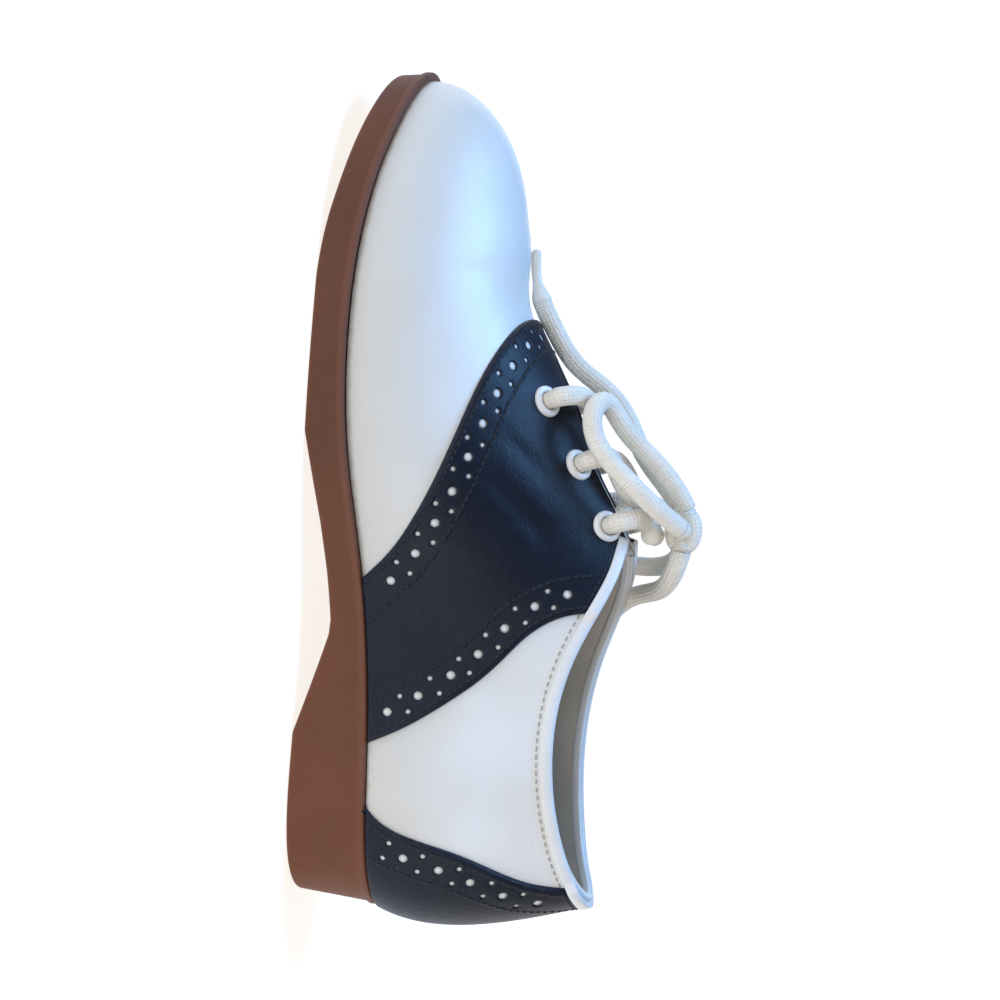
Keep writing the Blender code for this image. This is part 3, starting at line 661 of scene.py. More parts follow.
def matte_leather(name, light, dark, roughness):
    """Leather without a coat, in patches of two colours."""
    finish = Finish(name, Specular_IOR_Level=0.35)
    patches = finish.step(finish.noise(12.0, 4.0), 0.3, 0.8)
    fine = finish.noise(0.7, 4.0)
    colour = finish.blend(patches * 0.6 + fine * 0.2, light, dark)
    return finish.finished(Base_Color=colour, Roughness=roughness + 0.12 * (fine - 0.5),
                           Normal=leather_grain(finish, 0.6, 0.03))


LINING = matte_leather("lining_leather", LINING_BEIGE, LINING_DARK, 0.72)
TONGUE_LEATHER = matte_leather("tongue_leather", TONGUE_GREY, TONGUE_SHADE, 0.55)

# %% [markdown]
# The sole is one moulding of brick-brown rubber. It has a faint orange-peel skin, scuffs
# along its lower edge, and a darker toe from use. A lighter mauve band along the top of its
# rim is a painted highlight. Marks painted on a picture would have to be wrapped round it.
# Here three fields on its points place them: the height above the floor, the depth below the
# rim, and the share of the way to the toe.

# %% Sole rubber
SOLE_BROWN = (0.175, 0.064, 0.033, 1)
MAUVE_SCUFFS_AND_RIM_HIGHLIGHT = (0.195, 0.082, 0.052, 1)
SOLE_DARK = (0.080, 0.034, 0.022, 1)


def sole_rubber():
    finish = Finish("sole_rubber", Specular_IOR_Level=0.18)
    height, rim = finish.field("above_floor"), finish.field("below_rim")
    patches = finish.noise(30.0, 3.0)
    ledge = 1 - finish.step(rim, 1.2, 2.2)
    scuffs = finish.step(finish.noise(1.8, 5.0), 0.58, 0.70) * (1 - finish.step(height, 0.5, 5.0))
    colour = finish.blend(finish.step(patches, 0.3, 0.8) * 0.35, SOLE_BROWN, SOLE_DARK)
    worn = finish.step(finish.field("towards_toe"), 0.15, 0.75)
    colour = finish.blend(worn * 0.30, colour, SOLE_DARK)
    # Painted highlight: the top of the rim is made lighter and mauve, as where its rounded edge
    # catches the light. The same mauve also marks real scuffs.
    colour = finish.blend(ledge * 0.55, colour, MAUVE_SCUFFS_AND_RIM_HIGHLIGHT)
    colour = finish.blend(scuffs * 0.5, colour, MAUVE_SCUFFS_AND_RIM_HIGHLIGHT)
    skin = finish.relief(finish.noise(1.1, 2.0), 0.08)
    return finish.finished(Base_Color=colour, Roughness=0.50 + 0.14 * finish.noise(4.0, 3.0),
                           Normal=finish.relief(finish.noise(14.0, 2.0), 0.3, skin))


SOLE_RUBBER = sole_rubber()

# %% [markdown]
# The laces are round braids of cotton. The two families of yarn run round the lace as
# opposite screws, so their bumps come from two sine waves over the lace's own coordinates:
# u once round it, and v along it in millimetres. The soft cotton reflects like velvet, which
# the shader's sheen gives.

# %% Cotton, thread and enamel
COTTON_LIGHT = (0.93, 0.88, 0.79, 1)
COTTON_PATCH_AND_GROOVE_SHADE = (0.72, 0.64, 0.51, 1)
YARNS_ROUND = 8
BRAID_PITCH = 7.0


def braided_cotton():
    finish = Finish("braided_cotton", Sheen_Weight=0.35, Sheen_Roughness=0.4,
                    Specular_IOR_Level=0.2)
    uv = finish.node("ShaderNodeUVMap", {"uv_map": "UVMap"})
    round_it = finish.node("ShaderNodeSeparateXYZ", None, {0: uv}, "X")
    along = finish.node("ShaderNodeSeparateXYZ", None, {0: uv}, "Y")
    turns = round_it * (2 * math.pi * YARNS_ROUND)
    travel = along * (2 * math.pi * YARNS_ROUND / (2 * BRAID_PITCH))
    weave = 0.5 + 0.5 * (turns + travel).sine() * (turns - travel).sine()
    fluff = finish.noise(0.35, 3.0)
    patches = finish.step(finish.noise(11.0, 3.0), 0.25, 0.8)
    # The darker colour in the braid's grooves is painted shade; the slow patches are the cotton's
    # own tone.
    colour = finish.blend(0.35 * (1 - weave) + 0.35 * patches, COTTON_LIGHT, COTTON_PATCH_AND_GROOVE_SHADE)
    normal = finish.relief(fluff, 0.12, finish.relief(weave, 0.30))
    return finish.finished(Base_Color=colour, Roughness=0.84 + 0.1 * fluff, Normal=normal)


def plain_finish(name, colour, shade, roughness, grain, **constants):
    """Colour with slight patches and a fine bump, for small parts."""
    finish = Finish(name, **constants)
    patches = finish.noise(2.0, 3.0)
    mixed = finish.blend(patches, colour, shade)
    return finish.finished(Base_Color=mixed, Roughness=roughness + 0.15 * (patches - 0.5),
                           Normal=finish.relief(finish.noise(0.4, 2.0), grain))


LACE_COTTON = braided_cotton()
LACE_TIP = plain_finish("lace_tip", (0.86, 0.82, 0.73, 1), (0.74, 0.68, 0.58, 1), 0.3, 0.02)
WHITE_ENAMEL = plain_finish("white_enamel", (0.86, 0.86, 0.85, 1), (0.78, 0.78, 0.76, 1),
                            0.22, 0.01, Coat_Weight=0.5)
BLACK_THREAD = plain_finish("black_thread", (0.006, 0.006, 0.008, 1), (0.015, 0.016, 0.02, 1),
                            0.6, 0.05)
WHITE_THREAD = plain_finish("white_thread", (0.50, 0.45, 0.38, 1), (0.36, 0.31, 0.25, 1),
                            0.7, 0.05)
WHITE_BACKING = plain_finish("white_backing", (0.86, 0.86, 0.84, 1), (0.74, 0.74, 0.72, 1),
                             0.6, 0.02)

# %% [markdown]
# ## The lace
# One round lace holds the shoe: it comes out of the front eyelets as a bar, runs hidden under
# the facings to the next row, crosses over the slit, dives under the facings again and comes
# out of the top eyelets to the bow. A bevelled curve would do for a plain cord, but a mesh
# tube also carries coordinates for the braid, and can be squeezed where it goes through an
# eyelet. A frame is carried along the line without twisting, and a ring of points is set
# across it at each step.

# %% Smooth lines and tubes
LACE_RADIUS = 2.8
LACE_SIDES = 24
LACE_STEP = 0.7
ROUTE_SAMPLES = 40
UPRIGHT = 0.9
DOME_LEAST = 0.01


def lifted(angle, v, lift):
    """Point at a distance out from the last."""
    return surface(angle, v) + surface_normal(angle, v) * np.asarray(lift, float)[..., None]


def running_length(line):
    """How far along a line each of its points is."""
    chords = np.linalg.norm(np.diff(line, axis=0), axis=1)
    return np.concatenate(((0.0,), np.cumsum(chords)))


def even_steps(line, step):
    """The same line with points a fixed step apart."""
    run = running_length(line)
    wanted = np.linspace(0, run[-1], max(2, round(run[-1] / step)) + 1)
    return np.stack([np.interp(wanted, run, column) for column in line.T], -1)


def smooth_route(route, step):
    """Points at even steps along a smooth curve through a route's own points."""
    route = np.array(route, float)
    table = np.column_stack((running_length(route), route))
    fine = np.linspace(0, table[-1, 0], ROUTE_SAMPLES * len(route))
    line = np.stack([curve(table, column)(fine) for column in range(1, table.shape[1])], -1)
    return even_steps(line, step)


def carried_frames(line):
    """Directions across a line, carried along it without twisting."""
    ahead = unit(np.gradient(line, axis=0))
    aside = np.array((0.0, 1.0, 0.0) if abs(ahead[0][1]) < UPRIGHT else (1.0, 0.0, 0.0))
    across = np.zeros_like(line)
    for i, along in enumerate(ahead):
        aside = unit(aside - along * aside.dot(along))
        across[i] = aside
    return across, np.cross(ahead, across)


def tube(line, radius, sides):
    """Points, faces and corner coordinates of a tube. Radius has a number for each point."""
    line, radius = np.asarray(line, float), np.broadcast_to(radius, len(line))
    across, over = carried_frames(line)
    around = 2 * np.pi * np.arange(sides) / sides
    ring = across[:, None] * np.cos(around)[:, None] + over[:, None] * np.sin(around)[:, None]
    points = (line[:, None] + ring * radius[:, None, None]).reshape(-1, 3)
    run = running_length(line)
    faces, uv = grid_faces(len(line), sides, ring=True), []
    for low, high in zip(run, run[1:]):
        for j in range(sides):
            left, right = j / sides, (j + 1) / sides
            uv += [(left, low), (right, low), (right, high), (left, high)]
    last = len(points) - sides
    for cap in (range(sides - 1, -1, -1), range(last, last + sides)):
        faces.append(tuple(cap))
        uv += [(0.5, 0.0)] * sides
    return points, faces, uv


# %% [markdown]
# The six eyelets sit on the facings, and every hidden and visible stretch of the lace is
# given by them: a strand comes up through an eyelet along its axis, bends over its rim and
# goes on to its next place. Inside the eyelets the lace is squeezed a little.

# %% The lacing, from the bow through all six eyelets and back
EYELETS = ((144.8, 62.4), (127.6, 72.2), (110.9, 81.8))
LACE_RISE = ((0.0, 4.0), (0.004, 5.6), (0.035, 7.5), (0.09, 7.7))
THROUGH = (-3.4, -1.2, 1.2, 3.0)
UNDER_FACING = -3.9
BAR_MIDDLE = ((-0.4, 145.4, 75.8),)
OVER_SLIT = ((7.0, 121.6, 87.4), (2.5, 119.2, 88.9), (-1.4, 117.4, 88.8), (-4.4, 116.0, 86.9))
STRAND_LIFT = 2.3
DIVE = ((114.6, 0.01, -2.6), (112.8, 0.05, UNDER_FACING))
TOP_MIDDLE = ((6.2, 109.8, 94.6), (-0.2, 110.2, 95.2), (-6.6, 109.8, 94.6))
SQUEEZED = 2.45
SQUEEZE_HEIGHT, SQUEEZE_REACH, SQUEEZE_FADE = 0.6, 2.6, 2.4
EYELET_LIST = [(side, row) for side in (1, -1) for row in range(3)]


@lru_cache
def eyelet_place(side, row):
    return place_at(side, *EYELETS[row])


def out_of(side, row):
    """Route of the lace from under an eyelet, through it and towards the slit."""
    angle, v = eyelet_place(side, row)
    inside = [lifted(angle, v, lift) for lift in THROUGH]
    return inside + [lifted(angle, v + up, lift) for up, lift in LACE_RISE]


def hidden_run(side, row):
    """Places under the facing, from an eyelet to the one behind it."""
    start, end = eyelet_place(side, row), eyelet_place(side, row + 1)
    return [lifted(*(start + (end - start) * share), UNDER_FACING) for share in (0.3, 0.7)]


def dive(side):
    """Places where a strand goes under the facing, on its way to the top eyelet."""
    rows = []
    for s, down, lift in DIVE:
        angle = side * angle_at(s)
        rows.append(lifted(angle, rib_end(angle) - down, lift))
    return rows


def crossing(side):
    """Strand from a middle eyelet over the slit to the top eyelet of the other side."""
    swing = np.array((side, 1, 1))
    over = [np.array(place) * swing for place in OVER_SLIT]
    for place in over[1:3]:
        place[2] += side * STRAND_LIFT
    return out_of(side, 1) + over + dive(-side) + out_of(-side, 2)


def half_lacing(side):
    """Route from under a front eyelet to the middle of the bow."""
    return out_of(side, 0)[::-1] + hidden_run(side, 0) + crossing(side)


route = half_lacing(1)[::-1] + list(BAR_MIDDLE) + half_lacing(-1) + list(TOP_MIDDLE[::-1])
lace_line = smooth_route(route, LACE_STEP)
lace_width = np.full(len(lace_line), LACE_RADIUS)
for side, row in EYELET_LIST:
    gap = np.linalg.norm(lace_line - lifted(*eyelet_place(side, row), SQUEEZE_HEIGHT), axis=1)
    squeeze = 1 - np.clip((gap - SQUEEZE_REACH) / SQUEEZE_FADE, 0, 1)
    lace_width = np.minimum(lace_width, LACE_RADIUS - (LACE_RADIUS - SQUEEZED) * squeeze)
lace_points, lace_faces, lace_uv = tube(lace_line, lace_width, LACE_SIDES)
make_piece("lacing", lace_points, lace_faces, LACE_COTTON, "lace",
           ("lace_bar_front", "lace_crossing", "lace_bar_top"), uv=lace_uv)
print("lace in the eyelets, in mm:", round(float(running_length(lace_line)[-1])))

# %% [markdown]
# ## The bow
# The lace's free parts are tubes along given routes, which lie on the shoe as under their own
# weight. The outer loop falls over the facing onto the instep, the inner loop and the short
# end hang down the inner side, and the long end lies along the front. Their routes are the CAD
# model's, so the solids there and these braids agree. Each end is sealed in a small tip.

# %% Routes of the loops and ends
OUTER_LOOP = (
    (1.5, 118.2, 104.0), (3.5, 124.0, 100.5), (5.5, 132.0, 93.0), (8.5, 140.5, 84.5),
    (12.8, 146.5, 79.4), (17.5, 143.5, 77.2), (19.2, 135.5, 78.5), (18.5, 126.5, 86.0),
    (14.2, 117.0, 97.0), (7.9, 112.3, 103.2),
)
INNER_LOOP_DOWN = ((-7.9, 112.6, 103.2), (-13.5, 116.0, 99.6), (-17.8, 119.0, 92.5))
INNER_LOOP_DRAPE = (
    (119.0, 0.66, 5.6), (117.0, 0.56, 5.0), (110.0, 0.48, 5.0), (102.5, 0.54, 5.0),
    (100.5, 0.64, 5.6),
)
INNER_LOOP_UP = ((-17.0, 101.0, 94.0), (-11.5, 102.6, 99.8), (-5.5, 105.6, 102.8))
LONG_END = (
    (-5.0, 118.2, 102.4), (-7.0, 125.5, 96.0), (-8.0, 134.0, 89.2), (-8.0, 143.0, 84.4),
    (-7.6, 150.5, 78.2), (-7.0, 158.0, 68.2), (-7.0, 167.0, 61.5), (-6.5, 176.0, 56.7),
    (-5.8, 184.0, 54.5), (-5.0, 191.0, 54.2),
)
SHORT_END_OVER = ((1.0, 105.8, 103.4), (0.0, 101.0, 102.0), (-6.0, 95.5, 98.6))
SHORT_END_DRAPE = ((88.0, 0.76, 5.3), (80.0, 0.69, 3.9), (71.0, 0.62, 3.1), (62.0, 0.56, 1.6))
KNOT_CENTRE = np.array((-0.4, 112.0, 103.4))
print("the long end reaches s =", LONG_END[-1][1], "mm, in front of the facings")

# %% [markdown]
# A cord's tube is a mesh, so its radius can change: each end is squeezed to less than half
# over its last 16 mm, and a dome closes it. A thin glossy skin over that stretch is the
# sealed tip, as on laces whose ends are dipped instead of capped.

# %% The loops and ends as cords
TIP_LENGTH = 16.0
TIP_TAPER = 7.0
TIP_RADIUS = 1.3
TIP_SKIN = 0.12
END_STEP = 0.45


def draped(side, rows):
    """Places on the shoe's outside, given as (s, v, distance out from the last)."""
    return [lifted(side * angle_at(s), v, lift) for s, v, lift in rows]


def end_radius(line, skin=0.0):
    """Lace's radius along an end: squeezed over its last stretch and closed by a dome."""
    run = running_length(line)
    left = run[-1] - run
    squeeze = np.clip((TIP_LENGTH - left) / TIP_TAPER, 0, 1)
    squeeze = squeeze**2 * (3 - 2 * squeeze)
    radius = LACE_RADIUS + (TIP_RADIUS - LACE_RADIUS) * squeeze + skin
    beyond = 1 - np.clip(left / TIP_RADIUS, 0, 1)
    return radius * np.sqrt(np.clip(1 - beyond**2, DOME_LEAST, 1))


def lace_tip(name, line):
    """Sealed skin over the last stretch of an end."""
    left = running_length(line)[-1] - running_length(line)
    covered = left < TIP_LENGTH
    points, faces, uv = tube(line[covered], end_radius(line, TIP_SKIN)[covered], LACE_SIDES)
    return make_piece(name, points, faces, LACE_TIP, "lace", uv=uv)


def free_lace(name, node, route, length, tip):
    """A loop or an end of the lace, as a tube along its route. Its length is not used."""
    line = smooth_route(route, END_STEP if tip else LACE_STEP)
    radius = end_radius(line) if tip else np.full(len(line), LACE_RADIUS)
    pieces = [lace_tip(tip, line)] if tip else []
    points, faces, uv = tube(line, radius, LACE_SIDES)
    piece = make_piece(name, points, faces, LACE_COTTON, "lace", (node,), uv=uv)
    print(name, "is", round(float(running_length(line)[-1]), 1), "mm long")


inner_loop = [*INNER_LOOP_DOWN, *draped(-1, INNER_LOOP_DRAPE), *INNER_LOOP_UP]
short_end = [*SHORT_END_OVER, *draped(-1, SHORT_END_DRAPE)]
FREE_LACES = (
    # piece, CAD node, route, length in metres, tip
    ("bow_loop_outer", "lace_loop_outer", OUTER_LOOP, 0.092, None),
    ("bow_loop_inner", "lace_loop_inner", inner_loop, 0.102, None),
    ("bow_end_long", "lace_end_long", LONG_END, 0.089, "tip_long"),
    ("bow_end_short", "lace_end_short", short_end, 0.072, "tip_short"),
)
for free in FREE_LACES:
    free_lace(*free)

# %% [markdown]
# The knot is the loops and ends crossing, with one turn of lace wrapped round them. The
# strands run on inside it, so that nothing seems to end at its surface.

# %% Knot of the bow
WRAP_REACH = np.array((0.8, 4.4, 2.7))
WRAP_POINTS = 57
KNOT_PULL = 0.6
KNOT_STRANDS = (
    (OUTER_LOOP[-1], inner_loop[0]),
    (OUTER_LOOP[0], inner_loop[-1]),
    (LONG_END[0], short_end[0]),
)


def make_knot():
    """One turn of lace round the crossing, and the strands that run through it."""
    turned = np.linspace(0, 2 * np.pi, WRAP_POINTS)
    swing = np.stack((np.sin(turned), np.cos(turned), np.sin(turned)), -1)
    lines = [KNOT_CENTRE + WRAP_REACH * swing]
    for start, end in KNOT_STRANDS:
        middle = (np.array(start) + end) / 2 * (1 - KNOT_PULL) + KNOT_CENTRE * KNOT_PULL
        lines.append(smooth_route([start, middle, end], LACE_STEP))
    tubes = [tube(line, LACE_RADIUS, LACE_SIDES) for line in lines]
    points, faces = join_parts([made[:2] for made in tubes])
    uv = [corner for made in tubes for corner in made[2]]
    make_piece("bow_knot", points, faces, LACE_COTTON, "lace", ("lace_knot",), uv=uv)


make_knot()

# %% [markdown]
# ## Cutting leather
# The saddle and the counter are pattern pieces: a line round the outside, and holes punched
# in it. A Boolean could cut them from a thick shell, but it leaves ragged faces round a
# hundred small holes. Here the pattern is laid flat, filled with triangles between its edge
# and its holes, and then laid on the last point by point. All its lines are pairs of numbers,
# the angle and v.

# %% Moving over the last
WALK_STEP = 1.0
RIB_LENGTH = 60.0


def walk(places, direction, distance):
    """Move places over the last, in a direction in space and by a distance along it."""
    places = np.array(places, float)
    steps = max(1, math.ceil(np.max(np.abs(distance)) / WALK_STEP))
    stride = np.broadcast_to(distance, len(places)) / steps
    for _ in range(steps):
        along, up = surface_tangents(*places.T)
        normal = unit(np.cross(along, up))
        level = direction - normal * (direction * normal).sum(-1, keepdims=True)
        wanted = unit(level) * stride[:, None]
        aa, au, uu = (along * along).sum(-1), (along * up).sum(-1), (up * up).sum(-1)
        wa, wu = (wanted * along).sum(-1), (wanted * up).sum(-1)
        scale = aa * uu - au * au
        places[:, 0] += (wa * uu - wu * au) / scale
        places[:, 1] += (wu * aa - wa * au) / scale
    return places


def on_leather(line, clear=1.3):
    """The part of a line that is above the sole and below the collar."""
    points = on_last(line)
    margin = clear / RIB_LENGTH
    inside = above_rim(points) > clear
    inside &= ~past_edge(line[:, 0], line[:, 1] + margin * np.where(line[:, 1] > 1, -1, 1))
    return line[inside]


def spaced(line, step):
    """The same line of places, with a fixed distance between them on the last."""
    run = running_length(on_last(line))
    wanted = np.linspace(0, run[-1], max(1, round(run[-1] / step)) + 1)
    return np.stack([np.interp(wanted, run, column) for column in line.T], -1)


def leftwards(line, closed=False):
    """Direction to the left of a line on the last, seen from outside, at each place."""
    points = on_last(line)
    if closed:
        ahead = np.roll(points, -1, axis=0) - np.roll(points, 1, axis=0)
    else:
        ahead = np.gradient(points, axis=0)
    return unit(np.cross(surface_normal(*line.T), ahead))


def inset(line, distance, closed=False):
    """A line at a distance to the left of another one."""
    return walk(line, leftwards(line, closed), distance)


def hole_ring(place, radius, count):
    """Places round a hole."""
    first = unit(surface_tangents(*np.array(place, float)[:, None])[0])[0]
    second = np.cross(surface_normal(*place), first)
    turned = 2 * np.pi * np.arange(count) / count
    ways = np.cos(turned)[:, None] * first + np.sin(turned)[:, None] * second
    return walk(np.repeat([place], count, axis=0), ways, radius)


print("ring of a test hole:", hole_ring((1.0, 0.5), 1.0, 8).shape[0], "places")

# %% [markdown]
# The inside of a pattern is filled with places at even steps, and with close lines beside
# each edge and round each hole, because the leather turns down sharply there. A function of
# Blender's then joins all of them with well-shaped triangles, and those in the holes are
# dropped.

# %% Filling a pattern with triangles
LEATHER_STEP = 1.1
EDGE_LINES = (0.15, 0.4, 0.8, 1.4)
HOLE_LINES = (0.12, 0.35, 0.8)
TOO_CLOSE = 0.09
FILLING_GAP = 0.62
FAR_AWAY = 50.0
FINE_STEP = 0.4
GIRTH_STEPS = 33


def girth(angle, v):
    """Length up a rib from its foot, in millimetres."""
    angle, v = np.broadcast_arrays(np.asarray(angle, float), np.asarray(v, float))
    line = surface(angle[..., None], v[..., None] * np.linspace(0, 1, GIRTH_STEPS))
    return np.linalg.norm(np.diff(line, axis=-2), axis=-1).sum(-1)


def inside_loop(points, loop):
    """True for flat points inside a closed loop."""
    x, y = points[:, 0][:, None], points[:, 1][:, None]
    ax, ay = loop[:, 0], loop[:, 1]
    bx, by = np.roll(ax, -1), np.roll(ay, -1)
    spans = (ay > y) != (by > y)
    with np.errstate(divide="ignore", invalid="ignore"):
        crossing = x < (bx - ax) * (y - ay) / (by - ay) + ax
    return (spans & crossing).sum(-1) % 2 == 1


def nearest(points, line):
    """Distance from each point to the nearest point of a line."""
    tree = KDTree(len(line))
    for i, point in enumerate(line.tolist()):
        tree.insert(point, i)
    tree.balance()
    return np.array([tree.find(point)[2] for point in points.tolist()])


print("length up the rib in the middle of the heel, in mm:", round(float(girth(0.0, 1.0)), 1))

# %% [markdown]
# The function below gives back more than triangles. It also measures how far each place is
# from the pattern's edge and from the nearest hole's lip, so that the leather can turn down
# there, and its material can show wear.

# %% Places and triangles of a pattern


def fill_pattern(loop, flat, holes, filling):
    """Triangles between a closed loop and holes. Returns places, triangles and distances."""
    rings = [hole_ring(place, radius, count) for place, radius, count in holes]
    fixed = np.concatenate([loop, *rings])
    extra = [inset(loop, distance, closed=True) for distance in EDGE_LINES]
    for place, radius, count in holes:
        extra += [hole_ring(place, radius + more, count) for more in HOLE_LINES]
    extra = np.concatenate(extra)
    flat_loop = flat(loop)
    extra = extra[inside_loop(flat(extra), flat_loop)]
    gap = nearest(on_last(extra), on_last(fixed))
    extra = extra[gap > TOO_CLOSE]
    lined = np.concatenate((fixed, extra))
    filling = filling[inside_loop(flat(filling), flat_loop)]
    far = nearest(on_last(filling), on_last(lined)) > FILLING_GAP * LEATHER_STEP
    for place, radius, count in holes:
        away = np.linalg.norm(on_last(filling) - surface(*place), axis=1)
        far &= away > radius + HOLE_LINES[-1]
    places = np.concatenate((lined, filling[far]))
    edges, start = [], 0
    for ring in (loop, *rings):
        count = len(ring)
        edges += [(start + i, start + (i + 1) % count) for i in range(count)]
        start += count
    flat_places = flat(places)
    made = delaunay_2d_cdt([Vector(p) for p in flat_places], edges, [], 0, 1e-7)
    faces, origins = made[2], made[3]
    first = np.array([min(o) if o else -1 for o in origins])
    triangles = first[np.array([f for f in faces if len(f) == 3])]
    triangles = triangles[(triangles >= 0).all(-1)]
    middle = flat_places[triangles].mean(1)
    keep = inside_loop(middle, flat_loop)
    for ring in rings:
        keep &= ~inside_loop(middle, flat(ring))
    points = on_last(places)
    edge = nearest(points, surface(*spaced(np.vstack((loop, loop[:1])), FINE_STEP).T))
    lip = np.full(len(points), FAR_AWAY)
    for place, radius, count in holes:
        lip = np.minimum(lip, np.abs(np.linalg.norm(points - surface(*place), axis=1) - radius))
    return places, triangles[keep], edge, lip


# %% [markdown]
# Use leaves creases. The shoe is hardly worn, so there are only a few soft ones: across the
# vamp just in front of the saddle, where the toes bend, aslant on the saddle under the top
# eyelets, and down each side further back. Each is a given line, pressed in along its middle
# and pushed up a little beside it. All layers share them, so they bend together.

# %% Creases, listed one by one
CREASES = (
    # side, (s, z) of its line, depth, half width
    (1, ((126, 46), (118, 55), (109, 64), (101, 71)), 0.55, 4.0),
    (1, ((136, 51), (128, 60), (120, 69)), 0.35, 3.0),
    (1, ((176, 34), (179, 42), (180, 49)), 0.45, 4.5),
    (1, ((186, 30), (189, 39), (189, 47)), 0.30, 4.0),
    (-1, ((176, 34), (178, 42), (180, 49)), 0.45, 4.5),
    (-1, ((186, 30), (189, 39), (190, 47)), 0.30, 4.0),
    (-1, ((122, 46), (114, 56), (106, 66)), 0.50, 4.0),
    (1, ((60, 70), (66, 58), (70, 46)), 0.35, 5.0),
    (-1, ((62, 72), (68, 60), (72, 48)), 0.40, 5.0),
)
CREASE_REACH, CREASE_FADE, CREASE_RIM = 4, 2.5, 0.45
crease_lines = []
for side, rows, depth, half in CREASES:
    line = surface(*place_at(side, *np.array(rows, float).T).T)
    crease_lines.append((smooth_route(line, 1.0), depth, half))
print(len(crease_lines), "creases, the deepest", max(row[2] for row in CREASES), "mm")


def creased(points):
    """How far the leather is pushed out (or in, below 0) by the creases."""
    push = np.zeros(len(points))
    for line, depth, half in crease_lines:
        reach = CREASE_REACH * half
        near = ((points > line.min(0) - reach) & (points < line.max(0) + reach)).all(-1)
        if near.any():
            away = nearest(points[near], line) / half
            ends = np.linalg.norm(points[near][:, None] - line[[0, -1]][None], axis=-1).min(-1)
            fade = np.clip(ends / (CREASE_FADE * half), 0, 1)
            push[near] += depth * fade * (CREASE_RIM * away**2 - 1) * np.exp(-away**2)
    return push


def laid(places, lift, follow=1.0):
    """Points of a layer that lies on the last at a distance, with its creases."""
    points, normals = on_last(places), surface_normal(*places.T)
    lift = np.broadcast_to(lift, len(places)) + follow * creased(points)
    return points + normals * lift[:, None]


def round_edge(distance, radius):
    """Height of a rounded edge, from 0 at the edge to 1 a radius inside it."""
    return np.sqrt(1 - (1 - np.clip(distance / radius, 0, 1))**2)


# %% [markdown]
# ## The upper
# The vamp, the quarters and their lining are one soft wall, 1.8 mm thick. Its edges are the
# collar, the slit and the foot, where it goes into the sole. The wall is a grid of points, as
# on the CAD model but four times as fine. The inside gets the lining's own leather.

# %% The white upper with its lining
RIB_SPANS = ((20, 6), (74, 7), (FACING_CORNER, 6), (SLIT_FRONT, 12), (212, 8), (TOE_TIP, 7))
FINER = 4
UPPER_ROWS = 44
WALL_INSIDE = -1.8
INSIDE_FOLLOWS = 0.6
HOLE_RADIUS = 3.0


def rib_angles(finer):
    """Angles of the ribs on one side, with a rib at each corner of the upper's edge."""
    angles = [0.0]
    for end, count in RIB_SPANS:
        start, count = angles[-1], count * finer
        finish = float(angle_at(end))
        angles += [start + (finish - start) * (i + 1) / count for i in range(count)]
    return np.array(angles)


def both_sides(one_side):
    """All the way round: the outer side to the toe, and the inner side back to the heel."""
    return np.concatenate((one_side, -one_side[-2:0:-1]))


def make_upper():
    """The wall's two faces, with the eyelets' holes left out and the ridge's points joined."""
    angles = both_sides(rib_angles(FINER))
    ends = rib_end(angles)
    rise = np.linspace(0, 1, UPPER_ROWS + 1)
    grid = np.stack(np.broadcast_arrays(angles[:, None], ends[:, None] * rise), -1)
    places = grid.reshape(-1, 2)
    holes = np.array([surface(*eyelet_place(*eyelet)) for eyelet in EYELET_LIST])
    drilled = nearest(on_last(places), holes) < HOLE_RADIUS
    skin = grid_faces(*grid.shape[:2], closed=True, flip=True)
    skin = [face for face in skin if not drilled[list(face)].all()]
    points = np.concatenate((laid(places, 0.0), laid(places, WALL_INSIDE, INSIDE_FOLLOWS)))
    faces = layer_faces(skin, len(places))
    picks = np.zeros(len(faces))
    picks[len(skin):2 * len(skin)] = 1
    piece = make_piece("upper_skin", points, faces, (WHITE_LEATHER, LINING), "upper",
                       ("upper",), {"above_sole": above_rim(points)}, picks=picks)
    joined = bmesh.new()
    joined.from_mesh(piece.data)
    bmesh.ops.remove_doubles(joined, verts=joined.verts, dist=1e-6)
    joined.to_mesh(piece.data)
    joined.free()


make_upper()

# %% [markdown]
# ## The saddle and the counter
# Both are black leather with the same border: a row of stitches close to the folded edge,
# then large round perforations with a pair of small ones between each two, and a second row
# of stitches. The white backing shows through the holes. The lines of the edges are read in
# side view, and found on each side of the last.

# %% Edges of the saddle and the counter, in side view
SADDLE_FRONT = (
    (90.4, 16.0), (99.9, 25.2), (110.1, 31.6), (121, 36.7), (134.9, 41.6), (148.5, 46.0),
    (159.9, 50.4), (167.0, 53.8), (170.3, 57.0), (171.5, 62.0),
)
SADDLE_BACK = (
    (45.9, 22.3), (51.2, 32.6), (59.0, 43.9), (68.2, 54.6), (77.6, 62.8), (83.4, 70.1),
    (86.0, 77.0), (86.6, 84.0),
)
COUNTER_EDGE = (
    (28.5, 22.8), (25.1, 26.2), (22.0, 31.8), (19.4, 40.4), (17.0, 49.3), (13.8, 57.8),
    (10.9, 65.3), (9.3, 72.5), (8.8, 81.0),
)
OVERLAY_OUTSIDE = 1.5
OVERLAY_INSIDE = 0.05
OVERLAY_FOOT = 0.05
EDGE_STEP = 0.8
WHITE_MARGIN = 0.8
UNDER_BINDING = 1.7
EDGE_SAMPLES, FOOT_SAMPLES, HEEL_SAMPLES = 240, 40, 60
TOP_SAMPLE = 0.5
BACK_GAP, FACING_GAP, RIB_TIP = 0.5, 0.3, 0.01
SLIT_SAMPLES = 17
HEEL_RIB = 62.0


